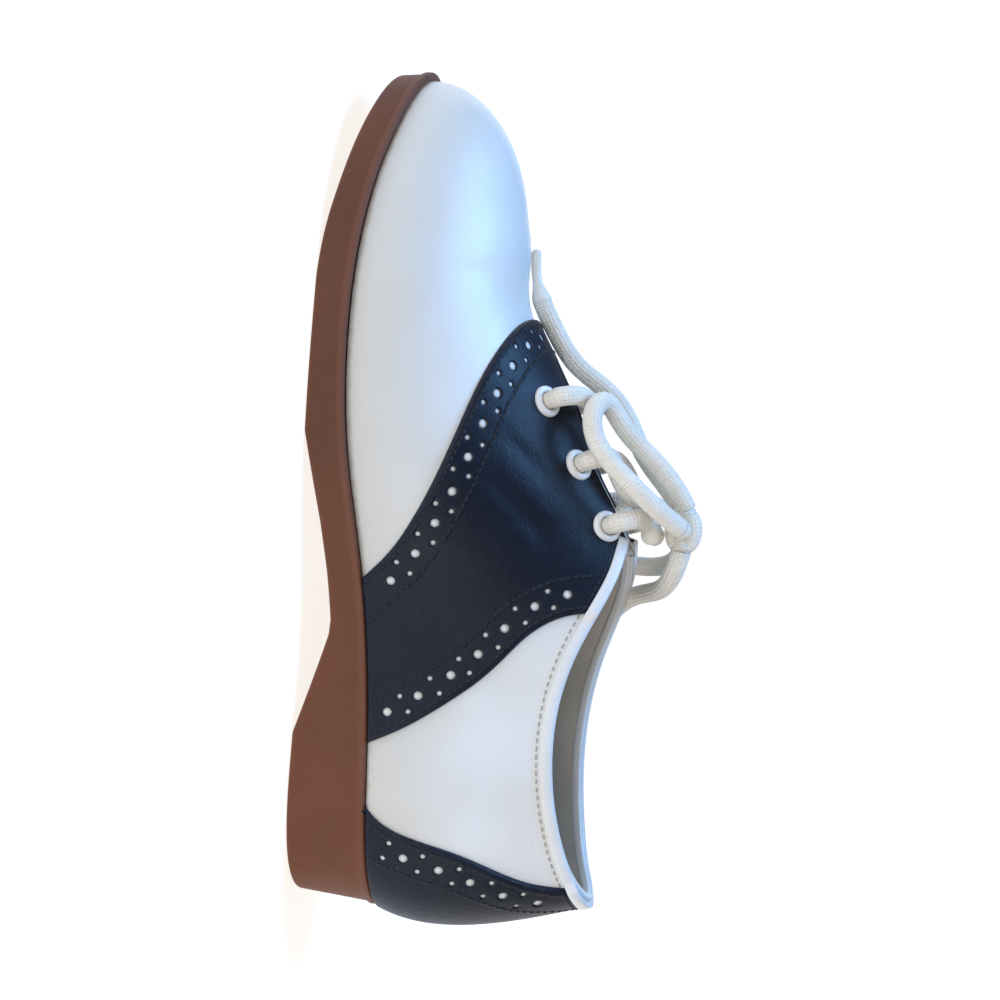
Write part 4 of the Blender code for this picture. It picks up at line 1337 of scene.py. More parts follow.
def side_edge(side, rows):
    """An edge given in side view, from the sole up to the collar or the ridge, as places."""
    table = np.column_stack((np.arange(len(rows)), rows))
    fine = np.linspace(0, len(rows) - 1, EDGE_SAMPLES)
    line = place_at(side, curve(table, 1)(fine), curve(table, 2)(fine))
    above = above_rim(on_last(line)) > OVERLAY_FOOT
    ended = past_edge(*line.T) | (line[:, 1] >= 1.0)
    return line[above & ~ended]


def foot_places(side, start, end):
    """Places just above the sole's rim, from one angle to another."""
    s = surface(np.linspace(start, end, FOOT_SAMPLES), 0.0)[:, 1]
    return place_at(side, s, rim_height(s) + OVERLAY_FOOT + SEAT_GAP)


def top_places(side, start, end, margin):
    """Places along the collar and the slit, a margin inside their edge."""
    s = np.linspace(start, end, max(2, round(abs(end - start) / TOP_SAMPLE)))
    angle = side * angle_at(s)
    up = np.linalg.norm(surface_tangents(angle, rib_end(angle) - RIB_TIP)[1], axis=-1)
    return np.stack((angle, rib_end(angle) - margin / up), -1)


def over_ridge(line):
    """Turn inner places into ones that are reached over the ridge."""
    return np.stack((-line[:, 0], 2 - line[:, 1]), -1)


def join_loop(*lines):
    """One closed loop from lines that follow each other, at even steps."""
    parts = []
    for line, following in zip(lines, lines[1:] + lines[:1]):
        whole = np.vstack((line, following[:1]))
        parts.append(spaced(whole, EDGE_STEP)[:-1])
    return np.concatenate(parts)


print("the saddle's front edge rises", round(SADDLE_FRONT[-1][1] - SADDLE_FRONT[0][1]), "mm")

# %% [markdown]
# Each pattern's outline is one closed loop. The saddle's goes along the foot, up the front
# edge, over the ridge and down again, back along the other foot, up the back edge, round the
# collar and the slit, and down the other back edge. The counter's goes round the heel's foot,
# up one of its edges, along the collar and down the other.

# %% Outlines of the patterns


def saddle_half(side):
    """Back edge, top line, front edge and foot of the saddle on one side."""
    front, back = side_edge(side, SADDLE_FRONT), side_edge(side, SADDLE_BACK)
    back_s = surface(*back[-1])[1]
    collar = top_places(side, back_s + BACK_GAP, FACING_CORNER, UNDER_BINDING)
    facing_start = FACING_CORNER + FACING_GAP
    facing = top_places(side, facing_start, SLIT_FRONT - SLIT_ROUND, WHITE_MARGIN)
    foot = foot_places(side, back[0][0], front[0][0])
    return back, np.vstack((collar, facing)), front, foot


back_out, top_out, front_out, foot_out = saddle_half(1)
back_in, top_in, front_in, foot_in = (over_ridge(line) for line in saddle_half(-1))

swing = np.linspace(-np.pi / 2, np.pi / 2, SLIT_SAMPLES)[1:-1]
slit_end_s = SLIT_FRONT - SLIT_ROUND + (SLIT_ROUND + WHITE_MARGIN) * np.cos(swing)
slit_end_x = (slit_width(SLIT_FRONT) + WHITE_MARGIN) * np.sin(swing)
slit_end = np.stack((angle_at(slit_end_s), np.ones(len(swing))), -1)
slit_end = walk(slit_end, np.array((1.0, 0.0, 0.0)), slit_end_x)
saddle_loop = join_loop(foot_out, np.vstack((front_out, front_in[::-1])), foot_in[::-1],
                        np.vstack((back_in, top_in)),
                        np.vstack((slit_end, top_out[::-1], back_out[::-1])))
saddle_front = spaced(np.vstack((front_out, front_in[::-1])), EDGE_STEP)
saddle_backs = (spaced(back_out[::-1], EDGE_STEP), spaced(back_in, EDGE_STEP))

counter_out, counter_in = side_edge(1, COUNTER_EDGE), side_edge(-1, COUNTER_EDGE)
heel_angles = np.linspace(counter_out[-1][0], counter_in[-1][0], HEEL_SAMPLES)
heel_top = np.stack((heel_angles, rib_end(heel_angles) - UNDER_BINDING / RIB_LENGTH), -1)
foot_angles = np.linspace(counter_in[0][0], counter_out[0][0], HEEL_SAMPLES)
foot_up = np.full(HEEL_SAMPLES, (OVERLAY_FOOT + SEAT_GAP) / HEEL_RIB)
heel_foot = np.stack((foot_angles, foot_up), -1)
counter_loop = join_loop(heel_foot[1:-1], counter_out, heel_top[1:-1], counter_in[::-1])
counter_edges = (spaced(counter_out, EDGE_STEP), spaced(counter_in[::-1], EDGE_STEP))
print("saddle's edge has", len(saddle_loop), "places, the counter's", len(counter_loop))

# %% [markdown]
# The border is the same everywhere, so one function of an edge line gives its holes, set out
# from the middle of the line, and a later one gives its two rows of stitches.

# %% Perforations and stitch rows beside an edge
ROW_NEAR = 1.8
ROW_FAR = 10.4
BIG_HOLES = 5.9
SMALL_HOLES = (3.4, 8.3)
BIG_RADIUS, SMALL_RADIUS = 1.25, 0.72
HOLE_PITCH = 10.2
FIRST_HOLE = 5.0
BIG_SIDES, SMALL_SIDES, EYELET_SIDES = 16, 12, 28
EYELET_HOLE = 3.1


def perforations(edge):
    """Big holes at even steps beside an edge, with a pair of small ones between them."""
    holes = []
    middle = inset(edge, BIG_HOLES)
    run = running_length(on_last(middle))
    length = run[-1] - 2 * FIRST_HOLE
    count = int(length / HOLE_PITCH)
    first = FIRST_HOLE + (length - count * HOLE_PITCH) / 2
    ways = leftwards(edge)
    for step in range(2 * count + 1):
        at = first + step * HOLE_PITCH / 2
        big = step % 2 == 0
        i = int(np.searchsorted(run, at))
        for distance in ((BIG_HOLES,) if big else SMALL_HOLES):
            place = walk(edge[i:i + 1], ways[i:i + 1], distance)[0]
            radius, sides = (BIG_RADIUS, BIG_SIDES) if big else (SMALL_RADIUS, SMALL_SIDES)
            if above_rim(surface(*place)[None])[0] > radius + ROW_NEAR:
                holes.append((tuple(place), radius, sides))
    return holes


saddle_edges = (saddle_front, *saddle_backs)
saddle_holes = [hole for edge in saddle_edges for hole in perforations(edge)]
counter_holes = [hole for edge in counter_edges for hole in perforations(edge)]
print(len(saddle_holes), "perforations in the saddle,", len(counter_holes), "in the counter")

# %% [markdown]
# To fill a pattern it has to lie flat. The saddle is laid out like an open book: along the
# shoe in one direction, and over the ridge from foot to foot in the other. The counter is
# rolled out round the heel. Each part then becomes a layer 1.5 mm thick with rolled edges.

# %% The black leather parts
EDGE_ROUND, LIP_ROUND, LIP_DROP = 0.9, 0.5, 0.35
UNDERSIDE_DROP = 0.15
LIP_MARGIN = 0.3
HEEL_SPAN, HEEL_STEPS = 1.6, 801
RIB_STEPS = 80


def flat_saddle(places):
    """Lay the saddle flat: along the shoe, and over the ridge from foot to foot."""
    angle, v = places.T
    beyond = v > 1
    outer = girth(np.abs(angle), np.where(beyond, 1.0, v))
    inner = girth(-np.abs(angle), 1.0) - girth(-np.abs(angle), np.where(beyond, 2 - v, 1.0))
    return np.stack((station(angle), outer + np.where(beyond, inner, 0.0)), -1)


def flat_counter(places):
    """Lay the counter flat: round the heel, and up the ribs."""
    angles = np.linspace(-HEEL_SPAN, HEEL_SPAN, HEEL_STEPS)
    run = running_length(outline(angles))
    return np.stack((np.interp(places[:, 0], angles, run), girth(*places.T)), -1)


def filling_places(angles, top):
    """Places at even steps up each rib, shifted by half a step on every second rib."""
    found = []
    for i, angle in enumerate(angles):
        table = np.linspace(0, top, RIB_STEPS)
        run = running_length(surface(angle, table))
        wanted = np.arange(0.25 + 0.5 * (i % 2), run[-1] / LEATHER_STEP) * LEATHER_STEP
        v = np.interp(wanted, run, table)
        found.append(np.stack((np.full(len(v), angle), v), -1))
    return np.concatenate(found)


def overlay(name, node, loop, flat, holes, filling, seams):
    """A black leather part: its outside, rolled edges, punched holes and underside."""
    places, triangles, edge, lip = fill_pattern(loop, flat, holes, filling)
    lift = OVERLAY_INSIDE + (OVERLAY_OUTSIDE - OVERLAY_INSIDE) * round_edge(edge, EDGE_ROUND)
    lift -= LIP_DROP * (1 - round_edge(lip, LIP_ROUND))
    seam = np.full(len(places), FAR_AWAY)
    for row in seams:
        line = surface(*spaced(row, FINE_STEP).T)
        seam = np.minimum(seam, nearest(on_last(places), line))
    under = laid(places, OVERLAY_INSIDE - UNDERSIDE_DROP)
    points = np.concatenate((laid(places, lift), under))
    edge = np.minimum(edge, lip + LIP_MARGIN)
    fields = {"edge": np.tile(edge, 2), "seam": np.tile(seam, 2),
              "above_sole": above_rim(points)}
    make_piece(name, points, layer_faces(triangles, len(places)), BLACK_LEATHER, "overlay",
               (node,), fields)


# %% [markdown]
# The rows of stitches are drawn before the leather is laid, because each row lies in a
# shallow groove of the material. They run on a little past the ends of their edge, and then
# stop just above the sole and just below the collar.

# %% The saddle and the counter
eyelet_places = [eyelet_place(1, row) for row in range(3)]
eyelet_places += [over_ridge(eyelet_place(-1, row)[None])[0] for row in range(3)]
eyelet_holes = [(tuple(place), EYELET_HOLE, EYELET_SIDES) for place in eyelet_places]
ROWS = (ROW_NEAR, ROW_FAR)
ROW_TRIM = 4
ROW_BEYOND, ROW_END = 4.5, 0.25
ROW_STEPS = 18


def border_rows(edges):
    """Rows for the stitches beside each edge, drawn on to the sole and the collar."""
    found = []
    for edge in edges:
        for distance in ROWS:
            row = inset(edge, distance)[ROW_TRIM:-ROW_TRIM]
            beyond = np.linspace(ROW_BEYOND, ROW_END, ROW_STEPS)[:, None]
            before = row[0] + (row[0] - row[ROW_TRIM]) * beyond
            after = row[-1] + (row[-1] - row[-1 - ROW_TRIM]) * beyond[::-1]
            found.append(on_leather(np.vstack((before, row, after))))
    return found


saddle_rows, counter_rows = border_rows(saddle_edges), border_rows(counter_edges)
SADDLE_REACH = (40.0, 178.0)
HEEL_REACH, HEEL_ROUND = 1.0, 46
saddle_filling = filling_places(angle_at(np.arange(*SADDLE_REACH, LEATHER_STEP)), 2.0)
overlay("saddle_leather", "saddle", saddle_loop, flat_saddle, saddle_holes + eyelet_holes,
        saddle_filling, saddle_rows)
heel_run = np.arange(-HEEL_REACH, HEEL_REACH, LEATHER_STEP / HEEL_ROUND)
counter_filling = filling_places(heel_run, 1.0)
overlay("counter_leather", "counter", counter_loop, flat_counter, counter_holes,
        counter_filling, counter_rows)

# %% [markdown]
# The white showing through the perforations is the backing under the black leather. Each
# hole gets a small plug of it, a little below the surface, so that the hole keeps its depth.

# %% White backing in the perforations
BACKING_TOP = 0.95
BACKING_FOOT = 0.2
BACKING_MARGIN = 0.25


def plug(place, radius, sides):
    """A small disc of backing in one hole, a little wider than the hole."""
    ring = hole_ring(place, radius + BACKING_MARGIN, sides)
    top, foot = laid(ring, BACKING_TOP), laid(ring, BACKING_FOOT)
    return np.concatenate((top, foot)), layer_faces([range(sides)], sides)


for name, holes in (("saddle_backing", saddle_holes), ("counter_backing", counter_holes)):
    points, faces = join_parts([plug(*hole) for hole in holes])
    make_piece(name, points, faces, WHITE_BACKING, "upper")

# %% [markdown]
# ## Stitches
# A stitch is a short piece of thread that rises out of one hole, lies over the leather, pulls
# it in a little, and goes down the next hole. Dashes in a texture would look painted, so each
# is a small rounded rod bent at both ends. All the stitches of a part are one mesh, because
# hundreds of separate objects would be slow.

# %% Rows of stitches
STITCH_SIDES = 6
STITCH_RINGS = 7
STITCH_PITCH, STITCH_SHARE, THREAD_RADIUS = 2.1, 0.78, 0.27
STITCH_CROWN, STITCH_BEND = 0.55, 1.7
STITCH_TAPER, STITCH_THIN = 0.8, 0.35


def stitch_row(row, lift, pitch, share, radius):
    """Points and faces of stitches along a row of places, each share of its pitch long."""
    line = spaced(row, pitch)
    places = (line[:-1] + line[1:]) / 2
    points, normals = on_last(places), surface_normal(*places.T)
    chords = np.diff(on_last(line), axis=0)
    along = unit(chords)
    aside = np.cross(normals, along)
    half = np.linalg.norm(chords, axis=1) * share / 2
    points = points + normals * (lift + creased(points))[:, None]
    around = 2 * np.pi * np.arange(STITCH_SIDES) / STITCH_SIDES
    made = []
    for step in np.linspace(-1, 1, STITCH_RINGS):
        drop = radius * (STITCH_CROWN - STITCH_BEND * step**4)
        thick = radius * max(STITCH_THIN, math.sqrt(1 - STITCH_TAPER * step**4))
        for turned in around:
            out = drop + thick * math.sin(turned)
            made.append(points + along * (half * step)[:, None] + normals * out
                        + aside * thick * math.cos(turned))
    count = STITCH_RINGS * STITCH_SIDES
    faces = grid_faces(STITCH_RINGS, STITCH_SIDES, ring=True, flip=True)
    faces += [tuple(range(STITCH_SIDES)), tuple(range(count - 1, count - 1 - STITCH_SIDES, -1))]
    return [(stitch, faces) for stitch in np.stack(made, 1)]


def sewn(name, rows, lift, finish, slot, pitch=STITCH_PITCH, share=STITCH_SHARE):
    """All the stitches of some rows as one piece."""
    parts = []
    for row in rows:
        parts += stitch_row(row, lift, pitch, share, THREAD_RADIUS)
    print(name, "has", len(parts), "stitches")
    make_piece(name, *join_parts(parts), finish, slot)


THREAD_SINKS = 0.12
ROW_DEPTH = OVERLAY_OUTSIDE - THREAD_SINKS
sewn("saddle_stitches", saddle_rows, ROW_DEPTH, BLACK_THREAD, "overlay")
sewn("counter_stitches", counter_rows, ROW_DEPTH, BLACK_THREAD, "overlay")

# %% [markdown]
# ## Collar binding
# A strip of white leather is folded over the collar, from one facing corner round the heel to
# the other, and sewn through just below: in white on the white leather, in black on the black.
# It runs over the counter and the saddle too, so it stands further out there. The strip is
# swept: each line of its cross-section is a line at its own distance below the collar's edge
# and its own height above the last. A bevelled curve would be as thick everywhere.

# %% Binding and its stitches
BINDING_SECTION = (
    # below the edge, height, share of the overlay's thickness under it
    (3.5, 0.05, 1), (3.45, 0.35, 1), (3.1, 0.58, 1), (2.2, 0.66, 1), (1.2, 0.64, 1),
    (0.4, 0.50, 1), (-0.3, 0.20, 0.9), (-0.7, -0.35, 0.5), (-0.75, -0.95, 0), (-0.55, -1.6, 0),
    (0.1, -2.1, 0), (1.1, -2.3, 0), (2.3, -2.25, 0), (2.9, -2.1, 0), (3.0, -1.75, 0),
)
COLLAR_ROW = 4.6
COLLAR_PITCH, COLLAR_SHARE, OPEN_DEPTH = 2.3, 0.72, 0.05
COLLAR_POINTS, COLLAR_STEP, COLLAR_INSIDE = 420, 0.8, 0.2
OVERLAY_RUN = 1.6
BINDING_LEAD = 2.6


def collar_line():
    """Places along the collar, from the outer facing corner round the heel to the inner."""
    corner = float(angle_at(FACING_CORNER - COLLAR_INSIDE))
    angles = np.linspace(corner, -corner, COLLAR_POINTS)
    return spaced(np.stack((angles, rib_end(angles)), -1), COLLAR_STEP)


collar = collar_line()
collar_s = on_last(collar)[:, 1]
on_saddle = np.clip((collar_s - surface(*back_out[-1])[1] + BINDING_LEAD) / OVERLAY_RUN, 0, 1)
counter_end = surface(*counter_out[-1])[1]
behind = np.abs(collar[:, 0]) < 2 * counter_out[-1][0]
on_counter = behind * np.clip((counter_end - collar_s + BINDING_LEAD) / OVERLAY_RUN, 0, 1)
overlay_under = OVERLAY_OUTSIDE * np.maximum(on_saddle, on_counter)


def make_binding():
    """Sweep the section along the collar. Returns the places of the row of stitches."""
    below = -leftwards(collar)
    below = below * np.sign((below * (0, 0, -1)).sum(-1).mean())
    lines = []
    for down, height, share in BINDING_SECTION:
        lift = height + share * overlay_under
        if down > 0:
            lines.append(laid(walk(collar, below, down), lift))
        else:
            lines.append(laid(collar, lift) - below * down)
    points = np.concatenate(lines)
    count, sections = len(collar), len(lines)
    faces = grid_faces(sections, count, closed=True)
    first = tuple(range(0, sections * count, count))
    faces += [first, tuple(i + count - 1 for i in first[::-1])]
    make_piece("collar_binding", points, faces, WHITE_LEATHER, "upper", (),
               {"above_sole": above_rim(points)})
    return walk(collar, below, COLLAR_ROW)


collar_row = make_binding()
covered = overlay_under > OVERLAY_OUTSIDE / 2
stretches = np.split(np.arange(len(collar)), np.flatnonzero(np.diff(covered)) + 1)
open_rows = [collar_row[stretch] for stretch in stretches if not covered[stretch[0]]]
covered_rows = [collar_row[stretch] for stretch in stretches if covered[stretch[0]]]
sewn("collar_stitches", open_rows, OPEN_DEPTH, WHITE_THREAD, "upper", COLLAR_PITCH,
     COLLAR_SHARE)
sewn("collar_stitches_black", covered_rows, ROW_DEPTH, BLACK_THREAD, "overlay")

# %% [markdown]
# ## Eyelets
# Six enamelled eyelets grip the facings. Each is a section turned round the hole's axis: the
# rolled flange outside, the barrel, and the rolled edge inside. A ring on a short cylinder
# would show a joint between them, and the real one is pressed from one piece.

# %% Turned eyelets
EYELET_SECTION = (
    # radius, distance out from the last
    (2.60, 0.0), (2.60, 1.9), (2.72, 2.35), (3.0, 2.68), (3.4, 2.82), (3.85, 2.74),
    (4.25, 2.48), (4.52, 2.08), (4.62, 1.6), (4.6, 1.0), (3.1, 0.9), (3.1, -1.7),
    (4.0, -1.75), (4.1, -2.0), (3.9, -2.3), (3.2, -2.4), (2.75, -2.2), (2.60, -1.8),
)
EYELET_TURNS = 40


def make_eyelet(side, row):
    """Turn the section round the axis of one hole."""
    place = eyelet_place(side, row)
    centre, axis = surface(*place), surface_normal(*place)
    centre = centre + axis * creased(centre[None])[0]
    across = unit(np.cross(axis, (0.0, 1.0, 0.0)))
    over = np.cross(axis, across)
    turned = 2 * np.pi * np.arange(EYELET_TURNS) / EYELET_TURNS
    ring = np.cos(turned)[:, None] * across + np.sin(turned)[:, None] * over
    points = np.concatenate([centre + ring * r + axis * h for r, h in EYELET_SECTION])
    faces = grid_faces(len(EYELET_SECTION), EYELET_TURNS, ring=True, closed=True)
    name = f"eyelet_{'outer' if side == 1 else 'inner'}_{row + 1}"
    make_piece("fine_" + name, points, faces, WHITE_ENAMEL, "eyelet", (name,))


for side, row in EYELET_LIST:
    make_eyelet(side, row)

# %% [markdown]
# ## Tongue
# The tongue lies under the facings and ends just past their corners. Pressed by the hidden
# stretches of lace, it dips there. Cloth simulation could press it down, but so small a dip
# is well drawn by one formula of the distance to the lace. The tongue is a grid a little
# inside the last, given its thickness along the way out, with its edges thinned.

# %% The tongue
TONGUE_TOP, TONGUE_BEND, TONGUE_FOOT = 107.0, 112.5, 167.0
TONGUE_OUTSIDE, TONGUE_INSIDE = -2.6, -4.8
TONGUE_SIDES = (0.74, 0.66)
TONGUE_TAPER = 0.25
TONGUE_ROWS, TONGUE_COLUMNS, END_ROWS = 76, 61, 10
STEP_ALONG, STEP_ACROSS, FIRST_GAP = 0.7, 0.9, 0.05
TONGUE_ROUND, THIN_EDGE = 2.0, 0.35
LACE_DIP, DIP_REACH = 1.9, 3.0


def tongue_sheet():
    """Points and outward directions of the tongue's grid, with its end turned upwards."""
    stations = np.linspace(TONGUE_FOOT, TONGUE_BEND, TONGUE_ROWS)
    low = np.linspace(*TONGUE_SIDES, TONGUE_ROWS)[:, None]
    v = low + (2 - 2 * low) * np.linspace(0, 1, TONGUE_COLUMNS)
    places = np.broadcast_arrays(angle_at(stations)[:, None], v)
    points, normals = surface(*places), surface_normal(*places)
    ridge = normals[-1, TONGUE_COLUMNS // 2]
    climb = np.array((0.0, -ridge[2], ridge[1])) * (TONGUE_BEND - TONGUE_TOP) / ridge[2]
    shares = np.linspace(0, 1, END_ROWS + 1)[1:, None, None]
    end = points[-1] * (1 - TONGUE_TAPER * shares * (1, 0, 0)) + climb * shares
    turned_up = np.repeat(normals[-1:], END_ROWS, axis=0)
    return np.concatenate((points, end)), np.concatenate((normals, turned_up))


def make_tongue():
    """Give the sheet its thickness, less at its edges, and press it down under the lace."""
    points, out = tongue_sheet()
    rows, width = points.shape[:2]
    to_end = np.arange(rows)[::-1, None] * STEP_ALONG
    across = np.arange(width)
    to_side = np.minimum(across, across[::-1]) * STEP_ACROSS
    edge = (np.minimum(to_end, to_side) + FIRST_GAP).ravel()
    points, out = points.reshape(-1, 3), out.reshape(-1, 3)
    away = np.maximum(nearest(points, lace_line) - LACE_RADIUS, 0)
    dip = LACE_DIP * np.exp(-(away / DIP_REACH)**2)
    middle = (TONGUE_OUTSIDE + TONGUE_INSIDE) / 2 - dip
    thick = THIN_EDGE + (1 - THIN_EDGE) * round_edge(edge, TONGUE_ROUND)
    thick = thick * (TONGUE_OUTSIDE - TONGUE_INSIDE) / 2
    layers = [points + out * (middle + way * thick)[:, None] for way in (1, -1)]
    faces = layer_faces(grid_faces(rows, width, flip=True), rows * width)
    make_piece("tongue_leather", np.concatenate(layers), faces, TONGUE_LEATHER, "tongue",
               ("tongue",))


make_tongue()

# %% [markdown]
# ## Sole
# The sole is one moulding: a rounded rim with a ledge on which the upper stands, a groove
# under the rim, plain sides, a low heel with a slanted breast, and a ribbed tread. Rings of
# points follow its outline from the ledge down to the tread, and a grid closes the underside.

# %% Heights of the underside
TREAD_END = 175.0
TOE_SPRING = ((175, 0.0), (188, 1.1), (201, 3.2), (218, 6.3), (230, 9.2), (240, 11.8))
WAIST = ((47, 0.0), (75, 8.2), (79, 8.5), (92, 7.0), (106, 4.9), (119, 2.4), (131, 0.0))
HEEL_TAPER = 1.3
HEEL_TAPER_END = 75.0
toe_spring = curve(TOE_SPRING, 1)


def underside(s):
    """Height of the sole's underside."""
    waist = np.interp(s, *np.array(WAIST, float).T, left=0, right=0)
    return np.where(s > TREAD_END, toe_spring(s), waist)


def heel_inset(s):
    """How far the heel's sides have drawn in at its foot."""
    return HEEL_TAPER * np.sqrt(np.clip(1 - np.maximum(s, 0) / HEEL_TAPER_END, 0, 1))


print("the toe stands", TOE_SPRING[-1][1], "mm above the floor, the waist", WAIST[2][1], "mm")

# %% [markdown]
# A lathe or a bevel can't follow a rim that rises and falls, so the sole's rings are placed
# one by one: a few close ones round each edge, and evenly spaced ones down the wall. The
# tread is ribbed across, so that its grooves end before the sides, as a mould makes them.

# %% Sections of the sole, and its tread
RIM_SECTION = (
    # inset, below the rim
    (4.5, 0.35), (2.2, 0.05), (1.2, -0.02), (0.8, 0.0), (0.45, 0.08), (0.18, 0.25),
    (0.02, 0.55), (0.0, 1.1), (0.0, 1.7), (0.1, 2.0), (0.32, 2.22), (0.58, 2.35), (0.66, 2.7),
)
TREAD_SECTION = (
    # inset, above the tread
    (1.1, 1.8), (1.15, 1.2), (1.3, 0.7), (1.6, 0.35), (2.05, 0.1), (2.6, 0.0),
)
WALL_ROWS = 10
SOLE_STEP = 0.9
TREAD_ROWS = 40
TREAD_PITCH = 4.5
TREAD_DEPTH = 0.7
TREAD_MARGIN = 6.0
TREAD_SPAN, HEEL_TREAD_SPAN = (137, 232), (5, 41)
TREAD_FADE = 1.5
GROOVE_SHARE = 1.2
OUTLINE_SAMPLES = 4000
CORNER_GAP = 0.004


def sole_angles():
    """Angles at even steps round one side, with one at each corner of the waist."""
    fine = np.linspace(0, np.pi, OUTLINE_SAMPLES)
    run = running_length(outline(fine))
    angles = np.interp(np.arange(0, run[-1], SOLE_STEP), run, fine)
    corners = angle_at(np.array([s for s, z in WAIST] + [TREAD_END], float))
    far = np.abs(angles[:, None] - corners).min(-1) > CORNER_GAP
    return np.sort(np.concatenate((angles[far][:-1], corners, (np.pi,))))


def tread_ribs(s, across):
    """Depth of the grooves across the tread and the heel's underside."""
    wave = np.clip(0.5 + GROOVE_SHARE * np.cos(2 * np.pi * s / TREAD_PITCH), 0, 1)
    inside = [np.clip((s - start) / TREAD_FADE, 0, 1) * np.clip((end - s) / TREAD_FADE, 0, 1)
              for start, end in (TREAD_SPAN, HEEL_TREAD_SPAN)]
    return TREAD_DEPTH * wave * np.maximum(*inside) * across


print("angles on one side of the sole:", len(sole_angles()))

# %% [markdown]
# Such a ring can be closed in two ways. A lid joins its outer and inner side by single
# strips, which is enough where it is hidden. A span puts a grid of points between them, whose
# heights can then be set.

# %% Lids and spans, and the sole


def lid_faces(count, half):
    """Close the first ring with strips from its outer to its inner side."""
    faces = [(0, 1, count - 1)]
    faces += [(i, i + 1, count - i - 1, count - i) for i in range(1, half - 1)]
    return faces + [(half - 1, half, half + 1)]


def span(ring, half, rows):
    """A grid of points across a ring, and how far across each of its rows is."""
    outer, inner = ring[1:half], ring[:half:-1]
    shares = np.linspace(0, 1, rows + 1)[1:-1, None, None]
    return outer + (inner - outer) * shares, shares[..., 0]


def span_faces(first, count, half, rows):
    """Faces of a ring at number first with such a grid, whose points follow the ring's."""
    def node(row, i):
        if row == 0:
            return first + i
        if row == rows:
            return first + (count - i) % count
        return first + count + (row - 1) * (half - 1) + i - 1

    faces = []
    for row in range(rows):
        for i in range(1, half - 1):
            faces.append((node(row, i), node(row + 1, i), node(row + 1, i + 1), node(row, i + 1)))
        faces.append((first, node(row + 1, 1), node(row, 1)))
        faces.append((first + half, node(row, half - 1), node(row + 1, half - 1)))
    return faces


def sole_rings(s):
    """Inset and height of each ring, from the ledge down to the tread."""
    rings = [(inset_by + 0 * s, rim_height(s) - below) for inset_by, below in RIM_SECTION]
    start_inset, start_below = RIM_SECTION[-1]
    end_inset, end_above = TREAD_SECTION[0]
    high, low = rim_height(s) - start_below, underside(s) + end_above
    for share in np.linspace(0, 1, WALL_ROWS + 1)[1:-1]:
        wide = start_inset + (end_inset + heel_inset(s) - start_inset) * share
        rings.append((wide, high + (low - high) * share))
    rings += [(inset_by + heel_inset(s), underside(s) + above)
              for inset_by, above in TREAD_SECTION]
    return rings


def make_sole():
    """Rings down the sides, a lid under the upper, and the ribbed grid below."""
    one_side = sole_angles()
    angles = both_sides(one_side)
    plan, normal, s = outline(angles), outline_normal(angles), station(angles)
    points = [np.column_stack((plan - normal * wide[:, None], height))
              for wide, height in sole_rings(s)]
    count, half, rings = len(angles), len(one_side) - 1, len(points)
    grid, shares = span(points[-1], half, TREAD_ROWS)
    wide = np.abs(points[-1][1:half, 0] - points[-1][:half:-1, 0])
    margin = np.minimum(shares, 1 - shares) * wide
    grid[..., 2] = underside(grid[..., 1])
    within = np.clip((margin - TREAD_MARGIN) / TREAD_FADE, 0, 1)
    grid[..., 2] += tread_ribs(grid[..., 1], within)
    points = np.concatenate([*points, grid.reshape(-1, 3)])
    faces = grid_faces(rings, count, ring=True, flip=True) + lid_faces(count, half)
    faces += span_faces((rings - 1) * count, count, half, TREAD_ROWS)
    fields = {"below_rim": -above_rim(points),
              "above_floor": points[:, 2] - underside(points[:, 1]),
              "towards_toe": points[:, 1] / points[:, 1].max()}
    make_piece("sole_moulding", points, faces, SOLE_RUBBER, "sole", ("sole_unit",), fields)


make_sole()

# %% [markdown]
# ## Insole
# A leather-covered insole lies on the sole inside the upper. Its edge is rounded and its
# middle a little hollow, as a foot leaves it. A plate with a bevel would look stiff, so rings
# of points climb the edge, and the sole's own functions close it above and below.

# %% The insole
INSOLE_LIFT = 0.3
INSOLE_THICKNESS = 2.4
INSOLE_CLEAR = 2.2
INSOLE_EDGES = ((0.0, 0.0), (0.0, 0.6), (0.1, 0.85), (0.5, 0.98), (1.4, 1.0))
INSOLE_ROWS = 24
HOLLOW_DEPTH, HOLLOW_START = 0.5, 30


def make_insole():
    """A few rings up the edge, and a grid over the top with its middle a little hollow."""
    one_side = sole_angles()[::2]
    angles = both_sides(one_side)
    plan, normal, s = outline(angles), outline_normal(angles), station(angles)
    rings = []
    for inward, share in INSOLE_EDGES:
        edge = plan - normal * (ledge_width(s) + INSOLE_CLEAR + inward)[:, None]
        height = rim_height(edge[:, 1]) + INSOLE_LIFT + INSOLE_THICKNESS * share
        rings.append(np.column_stack((edge, height)))
    count, half = len(angles), len(one_side) - 1
    grid, shares = span(rings[-1], half, INSOLE_ROWS)
    from_heel = np.clip(grid[..., 1] / HOLLOW_START, 0, 1)
    grid[..., 2] -= HOLLOW_DEPTH * np.sin(np.pi * shares) * from_heel
    faces = grid_faces(len(rings), count, ring=True)
    faces += [face[::-1] for face in lid_faces(count, half)]
    first = (len(rings) - 1) * count
    faces += [(face[0], *face[:0:-1]) for face in span_faces(first, count, half, INSOLE_ROWS)]
    points = np.concatenate([*rings, grid.reshape(-1, 3)])
    make_piece("insole_cover", points, faces, LINING, "insole", ("insole",))


make_insole()

# %% [markdown]
# The lining is sewn together at the heel, where a narrow seam runs down inside. It shows
# through the opening, so it is a real ridge: a small section swept down the heel's rib.

